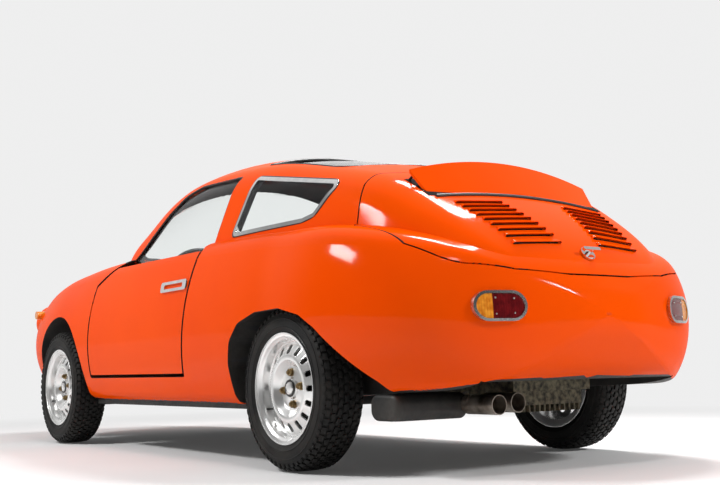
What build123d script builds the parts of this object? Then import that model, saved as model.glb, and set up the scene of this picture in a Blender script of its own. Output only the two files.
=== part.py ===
"""A small rear-engined two-door fastback coupe, at its real size in millimetres.

The origin is on the ground under the middle of the car.
+X points forward, +Y to the car's left and +Z up.
"""

import os
from math import cos, pi, sin, tan

from build123d import *

# overall
half_length = 1740
wheelbase = 2000
track = 1150
kingpin_spread = 1000

# body panels
skin = 22            # thickness of the roof, pillars and lids
seam = 5             # gap round doors and lids
cabin_half_width = 556
floor_top = 225
floor_z = 200        # underside of the sills
cabin_front = 640
cabin_rear = -680
shelf_z = 640
shelf_rear = -1150
glass_inset = 8      # from the outer skin to the face of the glass
glass_thickness = 4
glass_gap = 8        # round a door glass
fit = 0.3            # between pieces that seat on each other
lining = 4

# wheels
tyre_radius = 253
tyre_width = 146
rim_radius = 172
rim_width = 136
rim_lip = 9
barrel_radius = 150
stub_radius = 20
drum_radius = 96
drum_depth = 44
disc_offset = 20     # wheel disc, outboard of the centre plane
disc_thickness = 8
hub_height = 22      # from the disc to the outer end of the hub
drum_gap = 5
plate_thickness = 5
slot_count = 16
slot_circle = 124
slot_width = 13
slot_length = 26

# wheel wells
well_radius = 312
front_well_wall = 365
rear_well_radius = 292
rear_well_wall = 474

front_axle_x = wheelbase / 2
rear_axle_x = -wheelbase / 2
wheel_y = track / 2
kingpin_y = kingpin_spread / 2

os.makedirs("parts", exist_ok=True)


def fair_row(table, x):
    """The row of a table at station x, on smooth curves through its rows that never overshoot."""
    rows = sorted(table)
    stations = [row[0] for row in rows]
    last = len(rows) - 1
    low = max(0, min(last - 1, sum(1 for value in stations if value <= x) - 1))
    step = stations[low + 1] - stations[low]
    t = (x - stations[low]) / step

    def slope(values, k):
        before = (values[k] - values[k - 1]) / (stations[k] - stations[k - 1]) if k > 0 else None
        after = (values[k + 1] - values[k]) / (stations[k + 1] - stations[k]) if k < last else None
        if before is None or after is None:
            return after if before is None else before
        if before * after <= 0:
            return 0.0
        span_before = stations[k] - stations[k - 1]
        span_after = stations[k + 1] - stations[k]
        weight_before = 2 * span_after + span_before
        weight_after = span_after + 2 * span_before
        return (weight_before + weight_after) / (weight_before / before + weight_after / after)

    result = [x]
    for column in range(1, len(rows[0])):
        values = [row[column] for row in rows]
        result.append(
            (2 * t**3 - 3 * t**2 + 1) * values[low]
            + (t**3 - 2 * t**2 + t) * slope(values, low) * step
            + (3 * t**2 - 2 * t**3) * values[low + 1]
            + (t**3 - t**2) * slope(values, low + 1) * step
        )
    return result


def spaced(front, rear, count):
    """Stations from front to rear that crowd towards both ends."""
    middle, half = (front + rear) / 2, (front - rear) / 2
    return [middle + half * cos(pi * k / count) for k in range(count + 1)]


# lower body, from the nose to the tail: half widths and heights of its bottom edge,
# its widest line and its shoulder, the height of its middle line, and its corner radii
# x, half_bottom, z_bottom, half_wide, z_wide, half_shoulder, z_shoulder, z_crown, r_bottom, r_shoulder
hull_table = [
    (half_length, 150, 400, 170, 480, 150, 545, 552, 30, 30),
    (1700, 300, 325, 372, 475, 320, 600, 622, 40, 60),
    (1610, 430, 268, 515, 478, 430, 650, 670, 50, 80),
    (1450, 520, 242, 600, 490, 500, 700, 722, 50, 100),
    (1000, 585, 225, 655, 500, 545, 762, 782, 50, 110),
    (500, 608, floor_z, 660, 490, 590, 775, 805, 50, 100),
    (-200, 622, floor_z, 672, 490, 615, 768, 810, 50, 90),
    (-800, 632, floor_z, 686, 490, 625, 752, 800, 50, 90),
    (-1200, 620, 230, 688, 480, 625, 728, 780, 50, 100),
    (-1420, 570, 238, 652, 465, 575, 690, 740, 55, 100),
    (-1580, 470, 250, 562, 455, 480, 640, 680, 55, 100),
    (-1690, 310, 290, 385, 450, 320, 575, 605, 45, 80),
    (-half_length, 150, 370, 180, 450, 150, 515, 530, 30, 30),
]
hull_stations = spaced(half_length, -half_length, 20)

# greenhouse and fastback, from under the bonnet to the tail: half widths and heights of its
# foot and its eaves, the height of its middle line, and the radius of its eaves
# x, half_foot, z_foot, half_eave, z_eave, z_crown, r_eave
house_table = [
    (760, 250, 560, 200, 690, 715, 40),
    (600, 470, 600, 420, 770, 812, 60),
    (520, 540, 620, 490, 795, 880, 80),
    (450, 565, 620, 512, 830, 940, 95),
    (300, 585, 620, 515, 890, 1038, 115),
    (120, 597, 620, 522, 952, 1116, 130),
    (-150, 604, 620, 528, 1006, 1155, 145),
    (-500, 604, 620, 520, 1012, 1112, 150),
    (-1000, 580, 620, 490, 945, 1000, 150),
    (-1250, 560, 600, 475, 880, 920, 150),
    (-1450, 520, 560, 440, 770, 808, 140),
    (-1620, 440, 500, 380, 640, 688, 120),
    (-1712, 250, 470, 220, 545, 575, 60),
]
house_stations = spaced(house_table[0][0], house_table[-1][0], 18)


def cubic_face(section):
    """The face of a section with each of its arcs redrawn as one cubic curve, which lofts cleanly."""
    edges = []
    for edge in section.sketch_local.edges():
        start, end = edge @ 0, edge @ 1
        if edge.geom_type == GeomType.CIRCLE:
            reach = 4 / 3 * tan(edge.length / edge.radius / 4) * edge.radius
            edge = Edge.make_bezier(start, start + (edge % 0) * reach, end - (edge % 1) * reach, end)
        edges.append(edge)
    return section.workplanes[0].from_local_coords(Face(Wire(edges)))


def hull_section(x, inset):
    """Cross-section of the lower body at station x, drawn in by inset all round."""
    half_bottom, z_bottom, half_wide, z_wide, half_shoulder, z_shoulder, z_crown, r_bottom, r_shoulder = (
        fair_row(hull_table, x)[1:]
    )
    with BuildSketch(Plane.YZ.offset(x)) as section:
        with BuildLine():
            Line((-half_bottom, z_bottom), (half_bottom, z_bottom))
            ThreePointArc((half_bottom, z_bottom), (half_wide, z_wide), (half_shoulder, z_shoulder))
            ThreePointArc((half_shoulder, z_shoulder), (0, z_crown), (-half_shoulder, z_shoulder))
            ThreePointArc((-half_shoulder, z_shoulder), (-half_wide, z_wide), (-half_bottom, z_bottom))
        make_face()
        fillet(section.vertices().filter_by(lambda v: abs(v.Y - z_bottom) < 1), r_bottom)
        fillet(section.vertices().filter_by(lambda v: abs(v.Y - z_shoulder) < 1), r_shoulder)
        if inset:
            offset(amount=-inset, mode=Mode.REPLACE)
    return cubic_face(section)


def house_section(x, inset):
    """Cross-section of the greenhouse and fastback at station x, drawn in by inset all round."""
    half_foot, z_foot, half_eave, z_eave, z_crown, r_eave = fair_row(house_table, x)[1:]
    with BuildSketch(Plane.YZ.offset(x)) as section:
        with BuildLine():
            Line((-half_foot, z_foot), (half_foot, z_foot))
            Line((half_foot, z_foot), (half_eave, z_eave))
            ThreePointArc((half_eave, z_eave), (0, z_crown), (-half_eave, z_eave))
            Line((-half_eave, z_eave), (-half_foot, z_foot))
        make_face()
        fillet(section.vertices().filter_by(lambda v: abs(v.Y - z_eave) < 1), r_eave)
        if inset:
            offset(amount=-inset, mode=Mode.REPLACE)
    return cubic_face(section)


def house_skin(inset):
    """Solid of the greenhouse and fastback, drawn in by inset."""
    with BuildPart() as solid:
        loft(sections=[house_section(x, inset) for x in house_stations])
    return solid.part


def side_prism(points, corner, grow, y_from, y_to, taper=0):
    """Prism along Y, on the car's left, of a side-view outline with rounded corners, grown by grow."""
    with BuildPart() as prism:
        with BuildSketch(Plane.XZ.offset(-y_to)) as outline:
            with BuildLine():
                Polyline(*points, close=True)
            make_face()
            fillet(outline.vertices(), corner)
            if grow:
                offset(amount=grow, mode=Mode.REPLACE)
        extrude(amount=y_to - y_from, taper=taper)
    return prism.part


def plan_prism(points, corner, grow, z_from, z_to, taper=0):
    """Prism along Z of a plan outline with rounded corners, grown by grow."""
    with BuildPart() as prism:
        with BuildSketch(Plane.XY.offset(z_from)) as outline:
            with BuildLine():
                Polyline(*points, close=True)
            make_face()
            fillet(outline.vertices(), corner)
            if grow:
                offset(amount=grow, mode=Mode.REPLACE)
        extrude(amount=z_to - z_from, taper=taper)
    return prism.part


def both(solid):
    """A solid of the car's left side with its mirror image on the right."""
    with BuildPart() as pair:
        add(solid)
        mirror(about=Plane.XZ)
    return pair.part


def block(x_from, x_to, y_from, y_to, z_from, z_to):
    """Plain block between two corners."""
    with BuildPart() as solid:
        with Locations(((x_from + x_to) / 2, (y_from + y_to) / 2, (z_from + z_to) / 2)):
            Box(x_to - x_from, y_to - y_from, z_to - z_from)
    return solid.part


def cross_bar(x, z, radius, y_from, y_to):
    """Round bar along Y."""
    with BuildPart() as bar:
        with BuildSketch(Plane.XZ.offset(-y_to)):
            with Locations((x, z)):
                Circle(radius)
        extrude(amount=y_to - y_from)
    return bar.part


def stub_axle(x, y_root):
    """Stub axle of a left wheel: thick root, pin through the hub, and the brake's backing plate."""
    plate_face = wheel_y + disc_offset - drum_depth - drum_gap
    with BuildPart() as axle:
        add(cross_bar(x, tyre_radius, stub_radius + 13, y_root, plate_face))
        add(cross_bar(x, tyre_radius, stub_radius, y_root, wheel_y + disc_offset + hub_height))
        add(cross_bar(x, tyre_radius, drum_radius - 4, plate_face - plate_thickness, plate_face))
    return axle.part


def finish(builder, name):
    """Label a finished piece and write its file."""
    builder.part.label = name
    export_step(builder.part, f"parts/{name}.step")


# outlines: side view (x, z) of the doors and side windows, plan (x, y) of the other openings
door_line = [(615, 292), (580, 690), (400, 764), (-428, 752), (-336, 292)]
door_window = [(440, 735), (372, 782), (205, 861), (48, 936), (-85, 990), (-200, 1012), (-502, 1002), (-409, 735)]
quarter_window = [(-540, 775), (-628, 985), (-1080, 905), (-1100, 880), (-1020, 790), (-960, 778)]
windscreen_plan = [(150, 450), (400, 478), (530, 430), (600, 200), (600, -200), (530, -430), (400, -478), (150, -450)]
rear_window_plan = [(-985, 400), (-505, 400), (-455, 200), (-455, -200), (-505, -400), (-985, -400)]
front_lid_plan = [(650, 400), (1300, 370), (1490, 280), (1490, -280), (1300, -370), (650, -400)]
engine_lid_plan = [(-1195, 415), (-1205, 465), (-1255, 548), (-1800, 548),
                   (-1800, -548), (-1255, -548), (-1205, -465), (-1195, -415)]
tail_seam_z = 560
tail_seam_plan = [(-1100, 440), (-1600, 440), (-1680, 300), (-1722, 100), (-1722, -100), (-1680, -300),
                  (-1600, -440), (-1100, -440)]
tail_flare = 50
outside = 800        # beyond the body's side

# the whole outer form, and the same form one skin further in
house_outer = house_skin(0)
house_inner = house_skin(skin)
with BuildPart() as outer:
    loft(sections=[hull_section(x, 0) for x in hull_stations])
    add(house_outer)

with BuildPart() as inner:
    loft(sections=[hull_section(x, skin) for x in hull_stations[1:-1]])
    add(house_inner)

# the lower body grown by the clearance of the pieces that seat on it
with BuildPart() as hull_proud:
    loft(sections=[hull_section(x, -fit) for x in hull_stations])

with BuildPart() as glass_layer:
    add(house_skin(glass_inset))
    add(house_skin(glass_inset + glass_thickness), mode=Mode.SUBTRACT)

with BuildPart() as slot_layer:
    add(house_skin(glass_inset - fit))
    add(house_skin(glass_inset + glass_thickness + fit), mode=Mode.SUBTRACT)
    add(block(-600, 500, 0, outside, 700, 800), mode=Mode.INTERSECT)

with BuildPart() as cabin_void:
    add(house_inner)
    add(block(shelf_rear, cabin_front - 60, -outside, outside, shelf_z, 1300), mode=Mode.INTERSECT)
    add(block(cabin_rear, cabin_front, -cabin_half_width, cabin_half_width, floor_top, 749))

with BuildPart() as luggage_void:
    add(block(720, 1600, -front_well_wall + 30, front_well_wall - 30, 330, 900))
    add(block(720, 1600, -480, 480, 600, 900))
    add(inner.part, mode=Mode.INTERSECT)

with BuildPart() as engine_void:
    add(block(-1760, -770, -rear_well_wall + 20, rear_well_wall - 20, 150, 600))
    add(block(-1760, -1190, -outside, outside, 560, 1100))
    add(block(-1760, -1340, -outside, outside, 300, 600))
    add(inner.part, mode=Mode.INTERSECT)
    add(block(-1640, -770, -400, 400, 150, 330))
    add(block(-1120, -770, -480, 480, 150, 340))


def wheel_well(axle_x, radius, wall):
    """Space round one wheel on the car's left, open below."""
    with BuildPart() as well:
        add(cross_bar(axle_x, tyre_radius + 9, radius, wall, outside))
        add(block(axle_x - radius, axle_x + radius, wall, outside, 100, tyre_radius + 9))
    return well.part


rear_arch_line = [(-698, 100), (-698, 330), (-725, 405), (-790, 462), (-900, 492), (-1050, 496), (-1170, 470),
                  (-1240, 430), (-1432, 268), (-1520, 100)]
with BuildPart() as rear_well:
    add(wheel_well(rear_axle_x, rear_well_radius, rear_well_wall))
    add(block(-1600, -600, 0, tyre_width / 2 + wheel_y + 16, 50, 1000), mode=Mode.INTERSECT)
    add(side_prism(rear_arch_line, 60, 0, rear_well_wall, outside))
with BuildPart() as wells:
    add(wheel_well(front_axle_x, well_radius, front_well_wall))
    add(rear_well.part)
    mirror(about=Plane.XZ)

with BuildPart() as shell:
    add(outer.part)
    add([cabin_void.part, luggage_void.part, engine_void.part, wells.part], mode=Mode.SUBTRACT)

with BuildPart() as lid_stock:
    add(outer.part)
    add(inner.part, mode=Mode.SUBTRACT)


def engine_lid_zone(gap):
    """Space of the engine lid, drawn in by gap at its edges."""
    flare = tail_flare * pi / 180
    with BuildPart() as zone:
        add(plan_prism(tail_seam_plan, 50, gap * tan(flare) - gap / cos(flare), tail_seam_z + gap, 1000, -tail_flare))
        add(plan_prism(engine_lid_plan, 25, -gap, 500, 1100), mode=Mode.INTERSECT)
    return zone.part


door_windows = both(side_prism(door_window, 12, 0, 380, outside))
quarter_windows = both(side_prism(quarter_window, 20, 0, 380, outside))
windscreen_opening = plan_prism(windscreen_plan, 40, 0, 790, 1300)
rear_window_opening = plan_prism(rear_window_plan, 45, 0, 900, 1300)
door_hinge_y = 664   # vertical hinge line of the doors
door_hinge_heights = (390, 600)
with BuildPart() as door_bosses:
    for z in door_hinge_heights:
        add(block(570, 640, door_hinge_y - 50, door_hinge_y - 26, z - 20, z + 20))
    add(side_prism(door_line, 12, fit - seam, cabin_half_width - 20, outside, 3), mode=Mode.SUBTRACT)
with BuildPart() as lid_bosses:
    add(block(596, 630, 235, 265, 766, 794))
    add(block(-1215, -1180, 235, 265, 896, 916))
    add(plan_prism(front_lid_plan, 60, fit - seam, 560, 1000, -10), mode=Mode.SUBTRACT)
    add(engine_lid_zone(seam - fit), mode=Mode.SUBTRACT)
with BuildPart() as body_shell:
    add(shell.part)
    openings = [
        both(side_prism(door_line, 12, 0, 500, outside)),
        door_windows,
        quarter_windows,
        windscreen_opening,
        rear_window_opening,
        plan_prism(front_lid_plan, 60, 0, 560, 1000, -10),
        engine_lid_zone(0),
    ]
    add(openings, mode=Mode.SUBTRACT)
    # hinge bosses, which reach across the seams to the panels that they carry
    add([both(door_bosses.part), both(lid_bosses.part)])
finish(body_shell, "body_shell")

# panels that open, cut from the same skins as the shell
with BuildPart() as glass_slot:
    add(slot_layer.part)
    add(side_prism(door_window, 8, -glass_gap + fit, 380, outside), mode=Mode.INTERSECT)

with BuildPart() as door_left:
    add(shell.part)
    add(side_prism(door_line, 12, -seam, cabin_half_width - 20, outside, 3), mode=Mode.INTERSECT)
    add(glass_slot.part, mode=Mode.SUBTRACT)
finish(door_left, "door_left")

with BuildPart() as door_right:
    add(mirror(door_left.part, about=Plane.XZ, mode=Mode.PRIVATE))
finish(door_right, "door_right")

with BuildPart() as front_lid:
    add(lid_stock.part)
    add(plan_prism(front_lid_plan, 60, -seam, 560, 1000, -10), mode=Mode.INTERSECT)
finish(front_lid, "front_lid")



def lid_height(x, y):
    """Height of the roof and fastback's outer face above the point x, y of the ground, inside the eaves."""
    half_eave, z_eave, z_crown = fair_row(house_table, x)[3:6]
    rise = z_crown - z_eave
    radius = (half_eave**2 + rise**2) / (2 * rise)
    return z_crown - radius + (radius**2 - y**2) ** 0.5


# engine lid with two banks of pressed louvres: raised hoods with round ends, open towards the tail
louvre_count = 9
louvre_length = 184
louvre_top = (-1455, 220)
louvre_foot = (-1641, 168)
hood_height = 9      # above the lid, at the open edge
hood_run = 17        # from the open edge to where the hood dies into the lid
hood_wall = 1.6
hood_slope = 24
louvre_planes = []
for row in range(louvre_count):
    part_way = row / (louvre_count - 1)
    x = louvre_top[0] + (louvre_foot[0] - louvre_top[0]) * part_way
    y = louvre_top[1] + (louvre_foot[1] - louvre_top[1]) * part_way
    for side_y in (y, -y):
        here = lid_height(x, side_y)
        along = Vector(0, 1, lid_height(x, side_y + 0.5) - lid_height(x, side_y - 0.5))
        uphill = Vector(1, 0, lid_height(x + 0.5, side_y) - lid_height(x - 0.5, side_y))
        louvre_planes.append(Plane((x, side_y, here), x_dir=along, z_dir=uphill))


def louvre_wedges(length, height, run, start):
    """One wedge at each louvre, with round ends, that narrows uphill from the open edge."""
    wedges = []
    for plane in louvre_planes:
        with BuildPart() as wedge:
            with BuildSketch(plane.offset(start)):
                SlotOverall(length, 2 * height)
            extrude(amount=run, taper=hood_slope)
        wedges.append(wedge.part)
    return wedges


def louvre_slots():
    """One slot through the lid under each hood."""
    slots = []
    for plane in louvre_planes:
        with BuildPart() as slot:
            with BuildSketch(plane):
                with Locations((0, 3 - skin)):
                    Rectangle(louvre_length - 16, 2 * skin)
            extrude(amount=9)
        slots.append(slot.part)
    return slots


with BuildPart() as engine_lid:
    add(lid_stock.part)
    add(engine_lid_zone(seam), mode=Mode.INTERSECT)
    add(louvre_wedges(louvre_length, hood_height, hood_run, 0))
    add(louvre_wedges(louvre_length - 2 * hood_wall, hood_height - hood_wall, hood_run - 3, -1), mode=Mode.SUBTRACT)
    add(louvre_slots(), mode=Mode.SUBTRACT)
finish(engine_lid, "engine_lid")

# air flap over the engine lid, propped open at its front edge
flap_top = (-1317, 376, 907, 960)      # x, half width, height at the ends and in the middle
flap_foot = (-1404, 348, 797, 846)
flap_depth = 12                         # measured upright
with BuildPart() as air_flap:
    for x, half, z_end, z_middle in (flap_top, flap_foot):
        with BuildSketch(Plane.YZ.offset(x)):
            with BuildLine():
                ThreePointArc((-half, z_end), (0, z_middle), (half, z_end))
                Line((half, z_end), (half, z_end - flap_depth))
                ThreePointArc((half, z_end - flap_depth), (0, z_middle - flap_depth), (-half, z_end - flap_depth))
                Line((-half, z_end - flap_depth), (-half, z_end))
            make_face()
    loft(ruled=True)
    add(house_skin(-fit), mode=Mode.SUBTRACT)
finish(air_flap, "air_flap")

stay_radius = 4
with BuildPart() as flap_stays:
    for x_foot in (-1285, -1345):
        foot = Vector(x_foot, 352, fair_row(house_table, x_foot)[5] - 62)
        head = Vector(-1322, 362, 905)
        with BuildSketch(Plane(foot, z_dir=head - foot)):
            Circle(stay_radius)
        extrude(amount=(head - foot).length)
    add([house_outer, air_flap.part, air_flap.part.moved(Location((0, 0, -fit)))], mode=Mode.SUBTRACT)
    mirror(about=Plane.XZ)
finish(flap_stays, "flap_stays")

# glass
with BuildPart() as door_glass_left:
    add(glass_layer.part)
    add(side_prism(door_window, 8, -glass_gap, 380, outside), mode=Mode.INTERSECT)
finish(door_glass_left, "door_glass_left")

with BuildPart() as door_glass_right:
    add(mirror(door_glass_left.part, about=Plane.XZ, mode=Mode.PRIVATE))
finish(door_glass_right, "door_glass_right")

frame_width = 14
with BuildPart() as quarter_frames:
    add(house_skin(-3))
    add(house_inner, mode=Mode.SUBTRACT)
    add(side_prism(quarter_window, 20, -fit, 380, outside), mode=Mode.INTERSECT)
    add(side_prism(quarter_window, 20, -frame_width, 380, outside), mode=Mode.SUBTRACT)
    mirror(about=Plane.XZ)
finish(quarter_frames, "quarter_frames")

with BuildPart() as quarter_glasses:
    add(glass_layer.part)
    add(side_prism(quarter_window, 20, -frame_width - fit, 380, outside), mode=Mode.INTERSECT)
    mirror(about=Plane.XZ)
finish(quarter_glasses, "quarter_glasses")

for name, outline, corner, z_from in (
    ("windscreen", windscreen_plan, 40, 790),
    ("rear_window", rear_window_plan, 45, 900),
):
    with BuildPart() as glass:
        add(glass_layer.part)
        add(plan_prism(outline, corner, -fit, z_from, 1300), mode=Mode.INTERSECT)
    finish(glass, name)

with BuildPart() as headlining:
    add(house_skin(skin + fit))
    add(house_skin(skin + fit + lining), mode=Mode.SUBTRACT)
    add(block(shelf_rear + 20, 540, -outside, outside, 775, 1300), mode=Mode.INTERSECT)
    add([door_windows, quarter_windows, windscreen_opening, rear_window_opening], mode=Mode.SUBTRACT)
finish(headlining, "headlining")

# underbody
pan_depth = 18
pan_gap = 0.5
with BuildPart() as floor_pan:
    add(block(-690, 680, -575, 575, floor_z - pan_depth, floor_z - pan_gap))
    with BuildSketch(Plane.XY.offset(floor_z - pan_depth)):
        with Locations((0, 300), (0, -300)):
            RectangleRounded(1100, 320, 60)
    extrude(amount=6, mode=Mode.SUBTRACT)
finish(floor_pan, "floor_pan")

# seats: soft solids, a cushion and a backrest in one
seat_y, seat_width = 285, 420
seat_profile = [(-520, floor_top + fit), (-60, floor_top + fit), (0, 300), (-10, 380), (-360, 350), (-500, 720), (-560, 730), (-600, 700)]
for name, middle in (("seat_left", seat_y), ("seat_right", -seat_y)):
    with BuildPart() as seat:
        with BuildSketch(Plane.XZ.offset(-middle - seat_width / 2)) as outline:
            with BuildLine():
                Polyline(*seat_profile, close=True)
            make_face()
            fillet(outline.vertices(), 18)
        extrude(amount=seat_width)
        fillet(seat.faces().filter_by(Axis.Y).edges(), 16)
    finish(seat, name)

# dashboard with its cowl hump, steering column and wheel
with BuildPart() as dashboard:
    with BuildSketch(Plane.XZ.offset(-cabin_half_width + 6)) as outline:
        with BuildLine():
            Polyline((400, 560), (cabin_front - fit, 560), (cabin_front - fit, 715), (430, 735), (370, 712), (375, 640), close=True)
        make_face()
        fillet(outline.vertices(), 14)
    extrude(amount=2 * (cabin_half_width - 6))
finish(dashboard, "dashboard")

wheel_centre = Vector(185, seat_y, 665)
column_axis = Vector(-cos(25 * pi / 180), 0, sin(25 * pi / 180))
steering_radius = 185
column_plane = Plane(wheel_centre, z_dir=column_axis)
with BuildPart() as steering_wheel:
    with BuildSketch(Plane(wheel_centre, x_dir=column_plane.x_dir, z_dir=column_plane.y_dir)):
        with Locations((steering_radius - 13, 0)):
            Circle(13)
    revolve(axis=Axis(wheel_centre, column_axis))
    with BuildSketch(column_plane.offset(-4)):
        Circle(32)
        for angle in (90, 210, 330):
            with Locations(Location((0, 0), angle)):
                with Locations((steering_radius / 2 - 8, 0)):
                    Rectangle(steering_radius - 20, 24)
    extrude(amount=5)
finish(steering_wheel, "steering_wheel")

with BuildPart() as steering_column:
    with BuildSketch(column_plane.offset(-4 - fit)):
        Circle(20)
    extrude(amount=-330)
    add(dashboard.part, mode=Mode.SUBTRACT)
finish(steering_column, "steering_column")

# wheels: a pressed disc with slots in a deep-lipped rim, its drum behind it
tread_shoulder = 22


def wheel_plane(x, y):
    """Plane through a wheel's axle: x along the radius, y outboard along the axle."""
    outboard = 1 if y > 0 else -1
    return Plane((x, y, tyre_radius), x_dir=(0, 0, 1), z_dir=(-outboard, 0, 0))


def wheel_axis(x, y):
    return Axis((x, y, tyre_radius), (0, 1, 0))


corners = (
    ("front_left", front_axle_x, wheel_y),
    ("front_right", front_axle_x, -wheel_y),
    ("rear_left", rear_axle_x, wheel_y),
    ("rear_right", rear_axle_x, -wheel_y),
)
groove_depth = 6
groove_places = (-34, 0, 34)
for name, x, y in corners:
    plane = wheel_plane(x, y)
    axle = wheel_axis(x, y)
    with BuildPart() as tyre:
        with BuildSketch(plane):
            with BuildLine():
                half, bead = tyre_width / 2, rim_width / 2 - rim_lip - fit
                crown = tyre_radius - tread_shoulder
                Polyline((crown, half - 2), (barrel_radius + rim_lip + 30, half), (rim_radius - 2, bead + 2),
                         (barrel_radius + fit, bead - 6), (barrel_radius + fit, 6 - bead),
                         (rim_radius - 2, -bead - 2), (barrel_radius + rim_lip + 30, -half), (crown, 2 - half))
                Line((crown, 2 - half), (tyre_radius - 4, tread_shoulder - half))
                ThreePointArc((tyre_radius - 4, tread_shoulder - half), (tyre_radius, 0),
                              (tyre_radius - 4, half - tread_shoulder))
                Line((tyre_radius - 4, half - tread_shoulder), (crown, half - 2))
            make_face()
            with Locations(*[(tyre_radius, place) for place in groove_places]):
                Rectangle(2 * groove_depth, 5, mode=Mode.SUBTRACT)
        revolve(axis=axle)
    finish(tyre, f"tyre_{name}")
    with BuildPart() as rim:
        with BuildSketch(plane):
            with BuildLine():
                edge = rim_width / 2
                wall = 5
                face = disc_offset
                Polyline((stub_radius + fit, face - drum_depth), (drum_radius, face - drum_depth),
                         (drum_radius, face - disc_thickness), (barrel_radius - 30, face - disc_thickness),
                         (barrel_radius - wall, face - disc_thickness - 12), (barrel_radius - wall, wall + wall - edge),
                         (rim_radius - wall, -edge), (rim_radius, -edge), (rim_radius, wall - edge), (barrel_radius, wall + rim_lip - edge),
                         (barrel_radius, edge - wall - rim_lip), (rim_radius, edge - wall), (rim_radius, edge),
                         (rim_radius - wall, edge), (barrel_radius - wall, edge - wall - wall),
                         (barrel_radius - wall, face - 2),
                         (barrel_radius - 14, face + 4), (slot_circle - 22, face + 2), (78, face - 4),
                         (72, face + 8), (34, face + 12), (30, face + 20), (stub_radius + fit, face + 22),
                         close=True)
            make_face()
        revolve(axis=axle)
        with BuildSketch(Plane((x, y, tyre_radius), x_dir=(0, 0, 1), z_dir=(0, 1 if y > 0 else -1, 0))):
            with PolarLocations(slot_circle, slot_count, start_angle=180 / slot_count):
                SlotOverall(slot_length, slot_width)
        extrude(amount=face + 30, mode=Mode.SUBTRACT)
    finish(rim, f"rim_{name}")

# steered knuckles, each turning on a king pin between the spring's end and the upper arm
pin_radius, pin_foot, pin_head = 12, 168, 352
with BuildPart() as knuckle_left:
    for radius, trim in ((pin_radius, 0), (pin_radius + 12, 24)):
        with BuildSketch(Plane.XY.offset(pin_foot + trim)):
            with Locations((front_axle_x, kingpin_y)):
                Circle(radius)
        extrude(amount=pin_head - pin_foot - 2 * trim)
    add(stub_axle(front_axle_x, kingpin_y))
finish(knuckle_left, "knuckle_left")

with BuildPart() as knuckle_right:
    add(mirror(knuckle_left.part, about=Plane.XZ, mode=Mode.PRIVATE))
finish(knuckle_right, "knuckle_right")

# front axle: a transverse leaf spring below, and above it an arm on each side
spring_depth = 15
eye_radius = pin_radius + 14
eye_height = 18
axle_boss_top = 240
arm_reach = 110      # half length of an arm's root on the wall of the wheel well
with BuildPart() as front_axle:
    add(block(front_axle_x - 30, front_axle_x + 30, 0, kingpin_y - 20, pin_foot, pin_foot + spring_depth))
    add(block(front_axle_x - 40, front_axle_x + 40, 60, 180, pin_foot + spring_depth, axle_boss_top))
    add(hull_proud.part, mode=Mode.SUBTRACT)
    with BuildSketch(Plane.XY.offset(pin_head - eye_height)):
        with BuildLine():
            Polyline((front_axle_x - arm_reach, front_well_wall + fit), (front_axle_x + arm_reach, front_well_wall + fit),
                     (front_axle_x + 16, kingpin_y), (front_axle_x - 16, kingpin_y), close=True)
        make_face()
    extrude(amount=eye_height)
    for z in (pin_foot, pin_head - eye_height):
        with BuildSketch(Plane.XY.offset(z)):
            with Locations((front_axle_x, kingpin_y)):
                Circle(eye_radius)
        extrude(amount=eye_height)
    with BuildSketch(Plane.XY.offset(pin_foot)):
        with Locations((front_axle_x, kingpin_y)):
            Circle(pin_radius + fit)
    extrude(amount=pin_head, mode=Mode.SUBTRACT)
    mirror(about=Plane.XZ)
finish(front_axle, "front_axle")

# rear: engine and gearbox as one plain block, drive shafts, trailing arms with the stub axles
engine_rear, engine_front = -1520, -1120
with BuildPart() as engine_block:
    add(block(engine_rear, engine_front, -150, 170, 232, 560))
    add(block(engine_front - 10, -790, -95, 95, 190, 400))
finish(engine_block, "engine_block")
fin_count, fin_pitch, fin_thickness = 13, 21, 7
sump_front, sump_rear = -1290, -1500
with BuildPart() as oil_sump:
    add(block(sump_rear, sump_front, -132, 142, 190, 232 - fit))
    places = [(sump_front + (sump_rear - sump_front) / 2, (i - (fin_count - 1) / 2) * fin_pitch + 5, 181)
              for i in range(fin_count)]
    with Locations(*places):
        Box(sump_front - sump_rear, fin_thickness, 22)
finish(oil_sump, "oil_sump")
arm_front = -770 - fit
arm_height = 40
with BuildPart() as rear_arms:
    add(cross_bar(rear_axle_x, tyre_radius, 14, 95 + fit, wheel_y - 60))
    add(stub_axle(rear_axle_x, wheel_y - 110))
    with BuildSketch(Plane.XY.offset(tyre_radius - arm_height / 2)):
        with BuildLine():
            Polyline((rear_axle_x - 40, 445), (rear_axle_x + 40, 470), (arm_front, 420), (arm_front, 250),
                     (arm_front - 30, 250), (rear_axle_x - 40, 400), close=True)
        make_face()
    extrude(amount=arm_height)
    mirror(about=Plane.XZ)
finish(rear_arms, "rear_arms")

# silencer across the tail, and its twin tips on a short collector
silencer_place = (-1405, 198)
silencer_length = 130
with BuildPart() as silencer:
    with BuildSketch(Plane.XZ.offset(-560)):
        with Locations(silencer_place):
            RectangleRounded(silencer_length, 76, 30)
    extrude(amount=560 - 300)
    fillet(silencer.faces().filter_by(Axis.Y).edges(), 14)
finish(silencer, "silencer")

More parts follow.
